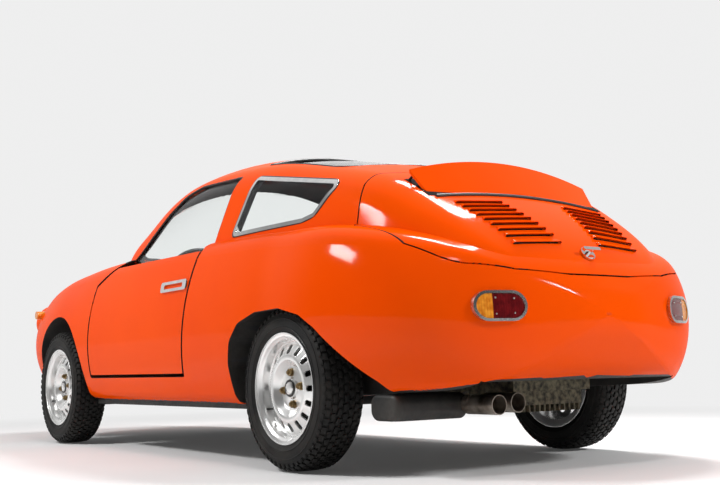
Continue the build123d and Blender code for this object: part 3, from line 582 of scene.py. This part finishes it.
def strip_round(name, outline, lay, corner, radius, sink, above=0.0):
    """A round rubber strip laid along an outline with rounded corners, sunk a little into the skin.

    On a door window it stops at the height above, where the door itself begins.
    """
    bpy.ops.object.select_all(action="DESELECT")
    bpy.ops.mesh.primitive_circle_add(vertices=len(outline), fill_type="NGON")
    strip = bpy.context.object
    strip.name = name
    for vertex, (u, v) in zip(strip.data.vertices, outline):
        vertex.co = (u, v, 0)
    bpy.ops.object.mode_set(mode="EDIT")
    bpy.ops.mesh.select_all(action="SELECT")
    bpy.ops.mesh.bevel(offset=corner, segments=5, affect="VERTICES")
    bpy.ops.mesh.select_all(action="SELECT")
    bpy.ops.mesh.subdivide(number_cuts=4)
    bpy.ops.mesh.delete(type="ONLY_FACE")
    bpy.ops.mesh.select_all(action="DESELECT")
    bpy.ops.object.mode_set(mode="OBJECT")
    for vertex in strip.data.vertices:
        vertex.select = bool(above) and vertex.co.y < above
    bpy.ops.object.mode_set(mode="EDIT")
    bpy.ops.mesh.delete(type="VERT")
    bpy.ops.object.mode_set(mode="OBJECT")
    for vertex in strip.data.vertices:
        x, y, z = lay(vertex.co.x, vertex.co.y)
        if lay is on_roof:
            vertex.co = (x, y, z - sink)
        else:
            vertex.co = (x, y - sink * np.sign(y), z)
    swept_round(strip, radius)
    bpy.ops.object.shade_smooth()
    handed_over(strip, seal_rubber, "root")


# x and z of the side windows' outlines, x and y of the windscreen's and the rear window's
door_pane = [(0.440, 0.735), (0.372, 0.782), (0.205, 0.861), (0.048, 0.936), (-0.085, 0.990),
             (-0.200, 1.012), (-0.502, 1.002), (-0.409, 0.735)]
quarter_pane = [(-0.540, 0.775), (-0.628, 0.985), (-1.080, 0.905), (-1.100, 0.880), (-1.020, 0.790),
                (-0.960, 0.778)]
windscreen_pane = [(0.150, 0.450), (0.400, 0.478), (0.530, 0.430), (0.600, 0.200), (0.600, -0.200),
                   (0.530, -0.430), (0.400, -0.478), (0.150, -0.450)]
rear_pane = [(-0.985, 0.400), (-0.505, 0.400), (-0.455, 0.200), (-0.455, -0.200), (-0.505, -0.400),
             (-0.985, -0.400)]
window_sill = 0.768
for side, lay in (("left", on_left), ("right", on_right)):
    strip_round(f"door_window_seal_{side}", door_pane, lay, 0.012, 0.0042, 0.004, above=window_sill)
    strip_round(f"quarter_window_seal_{side}", quarter_pane, lay, 0.020, 0.0032, 0.0005)
strip_round("windscreen_seal", windscreen_pane, on_roof, 0.040, 0.0060, 0.0035)
strip_round("rear_window_seal", rear_pane, on_roof, 0.045, 0.0065, 0.0030)

# The windows are clear, faintly green safety glass, bent to the body and set in their seals. The headlining
# behind them is dark grey woven cloth, stretched under the roof and over the pillars.
clear_glass = finish_of("clear_glass", (0.965, 0.985, 0.98), (0.975, 0.99, 0.985), 0.0, 0.01, scale=2,
                        grain=5, Transmission_Weight=1.0, IOR=1.12)
for node in ("windscreen", "rear_window", "quarter_glasses", "door_glass_left", "door_glass_right"):
    dress(node, clear_glass)
headlining_cloth = finish_of("headlining_cloth", (0.045, 0.047, 0.052), (0.075, 0.078, 0.085), 0.7, 0.9,
                             scale=9, grain=900, relief=0.0003)
dress("headlining", headlining_cloth)

# The bright trim is chromed brass and steel: frames of the quarter windows, pulls of the doors, the T-shaped
# catch of the engine lid, and the low grille. All of it is screwed on from inside, so no fixings show.
chrome = finish_of("chrome", (0.76, 0.76, 0.76), (0.86, 0.86, 0.85), 0.04, 0.12, scale=30, grain=400,
                   Metallic=1.0)
for node in ("quarter_frames", "door_handle_left", "door_handle_right", "lid_catch", "grille"):
    dress(node, chrome)

# The lamp lenses are moulded plastic, dark red and amber, with fine upright flutes. The headlamp glass is
# clear and fluted too. Each lens sits in a thin bright bezel.


def lens_of(name, first, second, pitch, **sockets):
    """A lens finish with upright flutes at the given number to the metre."""
    material = finish_of(name, first, second, 0.05, 0.15, scale=60, grain=300, **sockets)
    tree = material.node_tree
    where = node_in(tree, "TexCoord")
    flutes = node_in(tree, "TexWave", Scale=pitch)
    bump = node_in(tree, "Bump", Distance=0.0012, Strength=0.5)
    flutes.bands_direction = "Y"
    wire_up(
        tree,
        (where, "Object", flutes, "Vector"),
        (flutes, "Fac", bump, "Height"),
        (bump, "Normal", tree.nodes["Principled BSDF"], "Normal"),
    )
    return material


red_lens = lens_of("red_lens", (0.085, 0.003, 0.005), (0.15, 0.006, 0.008), 42, Coat_Weight=0.7)
amber_lens = lens_of("amber_lens", (0.62, 0.16, 0.010), (0.85, 0.33, 0.03), 42, Coat_Weight=0.7)
lamp_glass = lens_of("lamp_glass", (0.85, 0.87, 0.88), (0.92, 0.93, 0.93), 30, Transmission_Weight=0.6)
dress("tail_lamps_red", red_lens)
dress("tail_lamps_amber", amber_lens)
dress("front_indicators", amber_lens)

# Underneath all is black and dusty: the pan, springs, arms and silencer. The engine and its finned sump are
# oily cast alloy, and the twin exhaust tips are steel that heat has turned brown.
chassis_black = finish_of("chassis_black", (0.010, 0.010, 0.010), (0.035, 0.031, 0.026), 0.35, 0.7, scale=12,
                          grain=90, relief=0.0005)
oily_alloy = finish_of("oily_alloy", (0.02, 0.017, 0.011), (0.17, 0.145, 0.09), 0.4, 0.65, scale=60,
                       grain=160, relief=0.0008, Metallic=0.5)
heat_steel = finish_of("heat_steel", (0.09, 0.065, 0.045), (0.46, 0.40, 0.34), 0.22, 0.5, scale=16,
                       grain=120, relief=0.0005, Metallic=0.85)
for node in ("floor_pan", "silencer", "rear_arms", "front_axle", "knuckle_left", "knuckle_right"):
    dress(node, chassis_black)
for node in ("engine_block", "oil_sump"):
    dress(node, oily_alloy)
dress("exhaust_tips", heat_steel)

# Tyres are black cross-ply covers: plain walls with two raised rings, and a rounded tread of small rubber
# blocks in rows, staggered from row to row, with bigger blocks that wrap over the shoulders.
# corner, middle of the wheel, whether it is the mirror image of the piece made at the origin
wheel_corners = (
    ("front_left", (1.0, 0.575, 0.253), False),
    ("front_right", (1.0, -0.575, 0.253), True),
    ("rear_left", (-1.0, 0.575, 0.253), False),
    ("rear_right", (-1.0, -0.575, 0.253), True),
)
rubber = finish_of("tyre_rubber", (0.009, 0.009, 0.009), (0.020, 0.018, 0.016), 0.48, 0.72, scale=15,
                   grain=400, relief=0.0004, Specular_IOR_Level=0.22)


def turned(name, outline, steps, edge=35):
    """A ring turned round the Y axis, from the (radius, y) points of its closed outline."""
    bpy.ops.object.select_all(action="DESELECT")
    bpy.ops.mesh.primitive_circle_add(vertices=len(outline), fill_type="NOTHING")
    piece = bpy.context.object
    piece.name = name
    for vertex, (radius, y) in zip(piece.data.vertices, outline):
        vertex.co = (0, y, radius)
    bpy.ops.object.mode_set(mode="EDIT")
    bpy.ops.mesh.select_all(action="SELECT")
    bpy.ops.mesh.spin(steps=steps, angle=2 * pi, center=(0, 0, 0), axis=(0, 1, 0))
    bpy.ops.mesh.select_all(action="SELECT")
    bpy.ops.mesh.remove_doubles(threshold=1e-5)
    bpy.ops.mesh.normals_make_consistent(inside=False)
    bpy.ops.object.mode_set(mode="OBJECT")
    bpy.ops.object.shade_smooth_by_angle(angle=radians(edge))
    return piece


def chamfered(name, kind, chamfer, **sizes):
    """A cube or cylinder primitive with all its edges bevelled, as a start for small solid pieces."""
    bpy.ops.object.select_all(action="DESELECT")
    getattr(bpy.ops.mesh, f"primitive_{kind}_add")(**sizes)
    piece = bpy.context.object
    piece.name = name
    bpy.ops.object.transform_apply()
    bpy.ops.object.mode_set(mode="EDIT")
    bpy.ops.mesh.select_all(action="SELECT")
    bpy.ops.mesh.bevel(offset=chamfer, segments=2, affect="EDGES")
    bpy.ops.object.mode_set(mode="OBJECT")
    bpy.ops.object.shade_smooth_by_angle(angle=radians(50))
    return piece


def pick(*pieces):
    """Select these objects alone, with the first one active."""
    bpy.ops.object.select_all(action="DESELECT")
    for piece in pieces:
        piece.select_set(True)
    bpy.context.view_layer.objects.active = pieces[0]


def joined(pieces, name):
    """Several objects made one piece."""
    pick(*pieces)
    bpy.ops.object.join()
    pieces[0].name = name
    return pieces[0]


def modified(piece, kind, **settings):
    """Pick a piece, add a modifier with these settings and apply it."""
    pick(piece)
    bpy.ops.object.modifier_add(type=kind)
    modifier = piece.modifiers[-1]
    for setting, value in settings.items():
        setattr(modifier, setting, value)
    bpy.ops.object.modifier_apply(modifier=modifier.name)


def repeated_round_axle(piece, count):
    """The piece copied evenly round the Y axis through the origin."""
    bpy.ops.object.empty_add(rotation=(0, 2 * pi / count, 0))
    turn = bpy.context.object
    modified(piece, "ARRAY", count=count, use_relative_offset=False, use_object_offset=True,
             offset_object=turn)
    bpy.data.objects.remove(turn)


def on_each_wheel(pattern, name, material, replaced=None):
    """A copy of a piece made round the origin on each wheel, turned over for the right side."""
    for corner, place, mirrored in wheel_corners:
        copy = bpy.data.objects.new(f"{name}_{corner}", pattern.data.copy())
        bpy.context.scene.collection.objects.link(copy)
        copy.data.transform(Matrix.Translation(place) @ Matrix.Scale(-1 if mirrored else 1, 4, (0, 1, 0)))
        if mirrored:
            copy.data.flip_normals()
        handed_over(copy, material, f"wheel_{corner}")
        if replaced:
            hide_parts(f"{replaced}_{corner}")
    bpy.data.objects.remove(pattern)


# radius and y of the wall, from the bead past the two raised rings to the tread
wall = [(0.1505, 0.052), (0.168, 0.0600), (0.175, 0.0655), (0.1855, 0.0700), (0.1885, 0.0728),
        (0.1905, 0.0728), (0.1920, 0.0712), (0.2020, 0.0720), (0.2130, 0.0715), (0.2145, 0.0730),
        (0.2165, 0.0730), (0.2180, 0.0710), (0.2270, 0.0690), (0.2350, 0.0650), (0.2415, 0.0580),
        (0.2450, 0.0490), (0.2466, 0.0300)]
tread_radius, block_height = 0.2472, 0.0062
cover = turned("tyre", [*wall, (tread_radius, 0), *((r, -y) for r, y in reversed(wall))], 96)
pitches = 56
blocks = []
# y of the row, radius of its middle, width and length of a block, lean outwards, shift in pitches, skew
for y, radius, width, length, lean, step, skew in (
    (0.000, 0.2497, 0.0150, 0.0200, 0, 0.0, 12),
    (0.0195, 0.2496, 0.0150, 0.0200, 2, 0.5, -12),
    (-0.0195, 0.2496, 0.0150, 0.0200, -2, 0.5, 24),
    (0.0390, 0.2482, 0.0150, 0.0205, 8, 0.0, 12),
    (-0.0390, 0.2482, 0.0150, 0.0205, -8, 0.0, -12),
    (0.0570, 0.2436, 0.0150, 0.0190, 36, 0.45, 0),
    (-0.0570, 0.2436, 0.0150, 0.0190, -36, 0.45, 0),
    (0.0665, 0.2335, 0.0110, 0.0150, 66, 0.95, 0),
    (-0.0665, 0.2335, 0.0110, 0.0150, -66, 0.95, 0),
):
    tread_block = chamfered("tread_block", "cube", 0.0011, size=1, scale=(length, width, block_height))
    tread_block.data.transform(
        Matrix.Rotation(2 * pi / pitches * step, 4, "Y") @ Matrix.Translation((0, y, radius))
        @ Matrix.Rotation(radians(-lean), 4, "X") @ Matrix.Rotation(radians(skew), 4, "Z"))
    blocks.append(tread_block)
tread = joined(blocks, "tread")
repeated_round_axle(tread, pitches)
on_each_wheel(joined([cover, tread], "tyre"), "cover", rubber, "tyre")

# The rims are one-piece alloy castings with a stepped, polished lip and a domed disc, whose outer slope falls
# inwards and has sixteen slots. Each rim is bolted over a cast-iron brake drum.
rim_alloy = finish_of("rim_alloy", (0.80, 0.80, 0.79), (0.90, 0.90, 0.89), 0.20, 0.30, scale=12, grain=40,
                      Metallic=0.7)
# radius and y, from the hub over the dome, down to the foot of the slope, out over the lip and back behind
rim_outline = [
    (0.0205, 0.0418), (0.0300, 0.0400), (0.0340, 0.0330), (0.0600, 0.0300), (0.0680, 0.0300),
    (0.0740, 0.0350), (0.0800, 0.0430), (0.0880, 0.0500), (0.0980, 0.0520), (0.1050, 0.0505),
    (0.1370, 0.0310), (0.1410, 0.0300), (0.1450, 0.0325), (0.1473, 0.0400), (0.1483, 0.0500),
    (0.1510, 0.0550), (0.1560, 0.0578), (0.1600, 0.0620), (0.1685, 0.0640), (0.1712, 0.0655),
    (0.1720, 0.0668), (0.1712, 0.0680), (0.1690, 0.0678), (0.1690, 0.0630), (0.1600, 0.0590),
    (0.1497, 0.0530), (0.1497, -0.0560), (0.1690, -0.0630), (0.1720, -0.0680), (0.1680, -0.0680),
    (0.1450, -0.0580), (0.1445, 0.0230), (0.1400, 0.0220), (0.1345, 0.0245), (0.1030, 0.0435),
    (0.0980, 0.0445), (0.0880, 0.0425), (0.0800, 0.0355), (0.0740, 0.0275), (0.0680, 0.0220),
    (0.0205, 0.0200)]
rim_edge = 28
slot_count, slot_width, slot_length, slot_round = 16, 0.0180, 0.0330, 0.0062
slot_middle, slot_lean = (0, 0.0405, 0.1195), radians(31.3)
rim = turned("rim", rim_outline, 96, edge=rim_edge)
slot_cutter = chamfered("slot_cutter", "cube", slot_round, size=1, scale=(slot_width, 0.030, slot_length))
slot_cutter.data.transform(Matrix.Translation(slot_middle) @ Matrix.Rotation(slot_lean, 4, "X"))
repeated_round_axle(slot_cutter, slot_count)
modified(rim, "BOOLEAN", object=slot_cutter, solver="MANIFOLD")
bpy.data.objects.remove(slot_cutter)
bpy.ops.object.shade_smooth_by_angle(angle=radians(rim_edge))
on_each_wheel(rim, "cast_rim", rim_alloy, "rim")
drum_outline = [(0.0205, 0.0100), (0.0860, 0.0100), (0.0940, 0.0060), (0.0960, -0.0040), (0.0960, -0.0235),
                (0.0205, -0.0235)]
on_each_wheel(turned("brake_drum", drum_outline, 64), "brake_drum", chassis_black)

# Each rim is held by four hexagon nuts with washers, plated a brownish gold, on studs that stand a little
# proud of them. They sit on a circle round the hub cap, turned a little from upright.
nut_gold = finish_of("nut_gold", (0.13, 0.085, 0.035), (0.30, 0.21, 0.10), 0.3, 0.5, scale=90, grain=500,
                     Metallic=1.0)
nut_circle, nut_seat, nut_turn = 0.049, 0.0302, radians(8)
nut_parts = [
    chamfered("nut", "cylinder", 0.0012, vertices=6, radius=0.0115, depth=0.013, location=(0, 0, 0.0065)),
    chamfered("washer", "cylinder", 0.0006, vertices=24, radius=0.0132, depth=0.003, location=(0, 0, 0.0015)),
    chamfered("stud", "cylinder", 0.0006, vertices=16, radius=0.0058, depth=0.018, location=(0, 0, 0.009)),
]
nuts = joined(nut_parts, "nuts")
nuts.data.transform(Matrix.Rotation(nut_turn, 4, "Y") @ Matrix.Translation((0, nut_seat, nut_circle))
                    @ Matrix.Rotation(radians(-90), 4, "X"))
repeated_round_axle(nuts, 4)
on_each_wheel(nuts, "nuts", nut_gold)

# In the middle a bright pressed cap closes the hub, in a dark ring. A rubber valve with a thin neck
# stands in the rim's well, by the edge.
ring_and_valve_black = finish_of("ring_and_valve_black", (0.008, 0.008, 0.008), (0.03, 0.028, 0.024), 0.25, 0.5, scale=40,
                         grain=300)
ring_outline = [(0.0205, 0.0405), (0.0205, 0.0440), (0.0225, 0.0452), (0.0262, 0.0448), (0.0275, 0.0425),
                (0.0270, 0.0405)]
on_each_wheel(turned("dark_hub_ring", ring_outline, 48), "dark_hub_ring", ring_and_valve_black)
cap_outline = [(0.0001, 0.0425), (0.0195, 0.0425), (0.0200, 0.0436), (0.0185, 0.0462), (0.0140, 0.0476),
               (0.0130, 0.0465), (0.0060, 0.0470), (0.0001, 0.0472)]
on_each_wheel(turned("hub_cap", cap_outline, 48), "hub_cap", rim_alloy)
valve_outline = [(0.0001, 0.024), (0.0042, 0.024), (0.0042, 0.028), (0.0030, 0.030), (0.0030, 0.044),
                 (0.0036, 0.045), (0.0036, 0.052), (0.0028, 0.054), (0.0001, 0.054)]
valve_turn, valve_radius = radians(118), 0.1385
valve = turned("valve", valve_outline, 20)
valve.data.transform(Matrix.Rotation(valve_turn, 4, "Y") @ Matrix.Translation((0, 0, valve_radius)))
on_each_wheel(valve, "valve", ring_and_valve_black)

# Each tail lamp's two lenses are held by four small screws with bright, domed heads, two near its ends and
# two near its seam. They are set square on the lenses' curved faces.
bright_screw = finish_of("bright_screw", (0.45, 0.44, 0.42), (0.66, 0.65, 0.62), 0.2, 0.4, scale=200,
                         grain=900, Metallic=1.0)


def face_point(node, start, direction):
    """Where a line from start first meets a CAD node, and the face's outward normal there."""
    mesh = nodes[node].data
    tree = BVHTree.FromPolygons([v.co for v in mesh.vertices], [p.vertices for p in mesh.polygons])
    place, normal, _, _ = tree.ray_cast(Vector(start), Vector(direction))
    if normal.dot(Vector(direction)) > 0:
        normal.negate()
    return place, normal


behind_car, head_rise = -2.5, 0.0006
heads = []
for sign in (1, -1):
    for y, z in ((0.386, 0.492), (0.386, 0.448), (0.334, 0.490), (0.334, 0.450)):
        place, normal = face_point("tail_lamps_red", (behind_car, sign * y, z), (1, 0, 0))
        head = chamfered("head", "cylinder", 0.0009, vertices=16, radius=0.0026, depth=0.0030)
        head.data.transform(Matrix.Translation(place + normal * head_rise)
                            @ normal.to_track_quat("Z", "Y").to_matrix().to_4x4())
        heads.append(head)
handed_over(joined(heads, "tail_lamp_screws"), bright_screw, "root")

# The air flap's lower edge carries a black rubber strip, bent to the arch of the flap and kept just clear of
# the lid.


def drawn_round(wire, radius, material, body):
    """Make a wire outline into a round strip or rod and hand it over."""
    pick(wire)
    swept_round(wire, radius)
    bpy.ops.object.shade_smooth_by_angle(angle=radians(50))
    handed_over(wire, material, body)


def wire_through(name, points):
    """An open wire through points."""
    bpy.ops.object.select_all(action="DESELECT")
    bpy.ops.mesh.primitive_circle_add(vertices=len(points), fill_type="NOTHING")
    wire = bpy.context.object
    wire.name = name
    for vertex, point in zip(wire.data.vertices, points):
        vertex.co = point
    bpy.ops.object.mode_set(mode="EDIT")
    bpy.ops.mesh.select_mode(type="EDGE")
    bpy.ops.object.mode_set(mode="OBJECT")
    for vertex in wire.data.vertices:
        vertex.select = False
    for edge in wire.data.edges:
        edge.select = set(edge.vertices) == {0, len(points) - 1}
    bpy.ops.object.mode_set(mode="EDIT")
    bpy.ops.mesh.delete(type="EDGE")
    bpy.ops.mesh.select_mode(type="VERT")
    bpy.ops.object.mode_set(mode="OBJECT")
    return wire


flap_edge_x, flap_edge_top = -1.406, 0.846
half_span, arch_rise = 0.348, 0.049
strip_reach, strip_radius, strip_drop, lid_gap = 0.346, 0.0058, 0.009, 0.0015
arch = (half_span**2 + arch_rise**2) / (2 * arch_rise)
foot_line = []
for k in range(33):
    y = strip_reach * (k / 16 - 1)
    edge_z = flap_edge_top - arch + sqrt(arch**2 - y**2) - strip_drop
    foot_line.append((flap_edge_x, y, max(edge_z, roof_height(flap_edge_x, y) + lid_gap)))
drawn_round(wire_through("flap_edge_rubber", foot_line), strip_radius, seal_rubber, "engine_lid")

# A fine black wire gauze covers the air intake under the flap and keeps leaves out of the engine bay.
# It lies on the lid's skin, and its near-black colour also paints the shade under the raised flap.
gauze_rear, gauze_length, gauze_half_width = -1.3995, 0.118, 0.368
gauze_lift, gauze_thickness = 0.0012, 0.0018
bpy.ops.object.select_all(action="DESELECT")
bpy.ops.mesh.primitive_grid_add(x_subdivisions=10, y_subdivisions=48, size=1)
gauze = bpy.context.object
gauze.name = "intake_gauze"
for vertex in gauze.data.vertices:
    x = gauze_rear + gauze_length * (vertex.co.x + 0.5)
    y = gauze_half_width * 2 * vertex.co.y
    vertex.co = (x, y, roof_height(x, y) + gauze_lift)
modified(gauze, "SOLIDIFY", thickness=gauze_thickness)
bpy.ops.object.shade_smooth_by_angle(angle=radians(50))
# near-black, almost without gloss: the gauze's own colour and painted shade under the raised flap
gauze_and_shade_black = finish_of("gauze_and_shade_black", (0.004, 0.004, 0.004), (0.010, 0.010, 0.010), 0.8, 0.9, scale=120,
                        grain=900, relief=0.0005, Specular_IOR_Level=0.05)
handed_over(gauze, gauze_and_shade_black, "engine_lid")

# The flap is propped on thin black rods, two on each side. They stand apart on the lid and meet under the
# flap's corner, as the two legs of a V.
stay_radius, stay_foot_y, stay_sunk = 0.004, 0.352, 0.002
stay_head_x, stay_head_y, stay_head_z = -1.322, 0.362, 0.893
for side, sign in (("left", 1), ("right", -1)):
    for end, foot_x in (("front", -1.285), ("rear", -1.345)):
        foot = Vector((foot_x, sign * stay_foot_y, roof_height(foot_x, stay_foot_y) - stay_sunk))
        head = Vector((stay_head_x, sign * stay_head_y, stay_head_z))
        stay = wire_through(f"flap_stay_{side}_{end}", [foot, (foot + head) / 2, head])
        drawn_round(stay, stay_radius, chassis_black, "engine_lid")
        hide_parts("flap_stays")

# Two wipers lie on the foot of the windscreen: bent steel arms that bow up over the glass, each with a rubber
# blade across its end. Both are parked to the right.
arm_foot, arm_length, arm_slant, arm_bow = 0.618, 0.075, 0.135, 0.006
blade_foot, blade_start, blade_span = 0.585, 0.035, 0.33
arm_lift, arm_radius, blade_lift, blade_radius = 0.010, 0.0035, 0.006, 0.0042
for side, pivot_y in (("left", 0.30), ("right", -0.12)):
    arm_line = []
    for k in range(9):
        x, y = arm_foot - arm_length * k / 8, pivot_y - arm_slant * k / 8
        arm_line.append((x, y, roof_height(x, y) + arm_lift + arm_bow * sin(pi * k / 8)))
    arm = wire_through(f"wiper_arm_{side}", arm_line)
    drawn_round(arm, arm_radius, chassis_black, "root")
    blade_line = []
    for k in range(17):
        x, y = blade_foot - arm_length * k / 16, pivot_y + blade_start - blade_span * k / 16
        blade_line.append((x, y, roof_height(x, y) + blade_lift))
    blade = wire_through(f"wiper_blade_{side}", blade_line)
    drawn_round(blade, blade_radius, seal_rubber, "root")

# The headlamps are domed, fluted glasses over polished bowls, each with a small bulb cap in its middle. They
# look straight ahead from the ends of the pods on the wings.
headlamp_y, headlamp_z = 0.440, 0.575
# radius and distance ahead of the axles' middle, from the lamp's axis outwards over the front and back
lens_outline = [(0.0001, 1.6680), (0.0300, 1.6668), (0.0560, 1.6632), (0.0760, 1.6570), (0.0828, 1.6500),
                (0.0832, 1.6200), (0.0802, 1.6200), (0.0798, 1.6485), (0.0740, 1.6540), (0.0550, 1.6600),
                (0.0300, 1.6634), (0.0001, 1.6646)]
bowl_outline = [(0.0790, 1.6400), (0.0700, 1.6180), (0.0500, 1.6000), (0.0250, 1.5900), (0.0001, 1.5870),
                (0.0001, 1.5830), (0.0260, 1.5860), (0.0520, 1.5960), (0.0730, 1.6150), (0.0795, 1.6380)]
bulb_outline = [(0.0001, 1.5880), (0.0130, 1.5880), (0.0130, 1.6200), (0.0115, 1.6270), (0.0060, 1.6310),
                (0.0001, 1.6320)]
for side, sign in (("left", 1), ("right", -1)):
    for name, outline, material, slot in (
        ("headlamp_glass", lens_outline, lamp_glass, "lamp_glass"),
        ("headlamp_bowl", bowl_outline, chrome, "bright_trim"),
        ("headlamp_bulb_cap", bulb_outline, chrome, "bright_trim"),
    ):
        piece = turned(f"{name}_{side}", outline, 64)
        piece.data.transform(Matrix.Translation((0, sign * headlamp_y, headlamp_z))
                             @ Matrix.Rotation(radians(-90), 4, "Z"))
        handed_over(piece, material, "root")
        if name == "headlamp_glass":
            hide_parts("headlamps")

# The bezels of the lamps are thin pressings in satin chrome. The pods behind the headlamps' bezels are beaten
# out of the wings, so they are painted with them.
satin_chrome = finish_of("satin_chrome", (0.62, 0.62, 0.61), (0.74, 0.74, 0.73), 0.18, 0.32, scale=30,
                         grain=400, Metallic=1.0)
surrounds = copy_of("lamp_bezels", "lamp_surrounds", satin_chrome, orange)
bezel_front, bezel_back = 1.6521, 1.645
for face in surrounds.data.polygons:
    along = [surrounds.data.vertices[v].co.x for v in face.vertices]
    face.material_index = int(face.center.x > 0 and max(along) < bezel_front and min(along) < bezel_back)
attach(surrounds, "root")
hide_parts("lamp_bezels")

# The two bucket seats are padded and covered in black leathercloth, with sewn channels down the middle of
# the cushion and the back. The left one is stuffed by letting a cloth skin swell over the seat's own form.
voxel, air_pressure, swelling_steps, most_swell = 0.009, 4, 15, 0.008
channel_pitch, channel_width, channel_depth, sewn_half_width = 0.045, 0.005, 0.005, 0.135
black_hide = finish_of("black_hide", (0.012, 0.012, 0.013), (0.024, 0.023, 0.023), 0.34, 0.55, scale=18,
                       grain=700, relief=0.0005)
seat = copy_of("seat_left", "padded_seat_left")
pick(seat)
bpy.ops.object.mode_set(mode="EDIT")
bpy.ops.mesh.select_all(action="SELECT")
bpy.ops.mesh.remove_doubles(threshold=1e-4)
bpy.ops.mesh.normals_make_consistent(inside=False)
bpy.ops.object.mode_set(mode="OBJECT")
modified(seat, "REMESH", mode="VOXEL", voxel_size=voxel)
firm = np.array([v.co for v in seat.data.vertices])
bpy.ops.object.modifier_add(type="CLOTH")
cloth = seat.modifiers[-1]
cloth.settings.quality = 4
cloth.settings.use_pressure = True
cloth.settings.uniform_pressure_force = air_pressure
cloth.settings.effector_weights.gravity = 0
for moment in range(1, swelling_steps + 1):
    bpy.context.scene.frame_set(moment)
bpy.ops.object.modifier_apply(modifier=cloth.name)
bpy.context.scene.frame_set(1)
swollen = np.array([v.co for v in seat.data.vertices])
moved = swollen - firm
reach = np.linalg.norm(moved, axis=1)
swollen = firm + moved * np.minimum(1, most_swell / np.maximum(reach, 1e-6))[:, None]
seat.data.vertices.foreach_set("co", swollen.ravel())
modified(seat, "SUBSURF", levels=1, render_levels=1)
low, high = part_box("seat_left")
places = np.array([v.co for v in seat.data.vertices])
outward = np.array([v.normal for v in seat.data.vertices])
aside = np.abs(places[:, 1] - (low[1] + high[1]) / 2)
to_seam = (aside + channel_pitch / 2) % channel_pitch - channel_pitch / 2
sewn = (aside < sewn_half_width) & ((outward[:, 2] > 0.3) | (outward[:, 0] > 0.3))
places -= outward * (channel_depth * np.exp(-(to_seam / channel_width) ** 2) * sewn)[:, None]
seat.data.vertices.foreach_set("co", places.ravel())
bpy.ops.object.shade_smooth()
seat.data.materials.append(black_hide)
other_seat = bpy.data.objects.new("padded_seat_right", seat.data.copy())
bpy.context.scene.collection.objects.link(other_seat)
other_seat.data.transform(Matrix.Scale(-1, 4, (0, 1, 0)))
other_seat.data.flip_normals()
for piece, node in ((seat, "seat_left"), (other_seat, "seat_right")):
    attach(piece, "root")
    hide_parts(node)

# The dashboard is steel in crackle black, as are the steering column and the thin-rimmed wheel. Three round
# dials in bright bezels face the driver, each a black disc with white marks and a white needle.
crackle = finish_of("crackle_black", (0.012, 0.012, 0.012), (0.02, 0.02, 0.02), 0.4, 0.6, scale=60, grain=900,
                    relief=0.0006)
dial_black = finish_of("dial_black", (0.006, 0.006, 0.006), (0.012, 0.012, 0.012), 0.5, 0.6, scale=90,
                       grain=900)
dial_white = finish_of("dial_white", (0.60, 0.60, 0.57), (0.72, 0.72, 0.68), 0.4, 0.5, scale=90, grain=900)
for node in ("dashboard", "steering_column", "steering_wheel"):
    dress(node, crackle)
dial_height, marks_on_dial, dial_sweep = 0.668, 17, 260
mark_size, needle_size, needle_angle = 0.0012, 0.0016, radians(-128)
for number, (y, radius) in enumerate(((0.365, 0.046), (0.265, 0.046), (0.175, 0.028))):
    place, normal = face_point("dashboard", (0.0, y, dial_height), (1, 0, 0))
    stand = Matrix.Translation(place) @ normal.to_track_quat("Y", "Z").to_matrix().to_4x4()
    bezel = turned("bezel", [(radius - 0.004, -0.004), (radius - 0.004, 0.006), (radius, 0.009),
                             (radius + 0.004, 0.005), (radius + 0.005, -0.004)], 48)
    bezel.data.materials.append(chrome)
    face = turned("face", [(0.0001, -0.004), (0.0001, 0.0015), (radius - 0.0042, 0.0015),
                           (radius - 0.0042, -0.004)], 48)
    face.data.materials.append(dial_black)
    marks = []
    for k in range(marks_on_dial):
        angle = radians(dial_sweep * (k / (marks_on_dial - 1) - 0.5))
        mark = chamfered("mark", "cube", 0.0003, size=1, scale=(mark_size, mark_size, 0.16 * radius))
        mark.data.transform(Matrix.Rotation(angle, 4, "Y") @ Matrix.Translation((0, 0.0018, radius * 0.78)))
        marks.append(mark)
    needle = chamfered("needle", "cube", 0.0003, size=1, scale=(needle_size, needle_size, 0.75 * radius))
    needle.data.transform(Matrix.Rotation(needle_angle, 4, "Y")
                          @ Matrix.Translation((0, 0.0032, radius * 0.3)))
    marks = joined([*marks, needle], "marks")
    marks.data.materials.clear()
    marks.data.materials.append(dial_white)
    dial = joined([bezel, face, marks], f"dial_{number}")
    dial.data.transform(stand)
    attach(dial, "root")
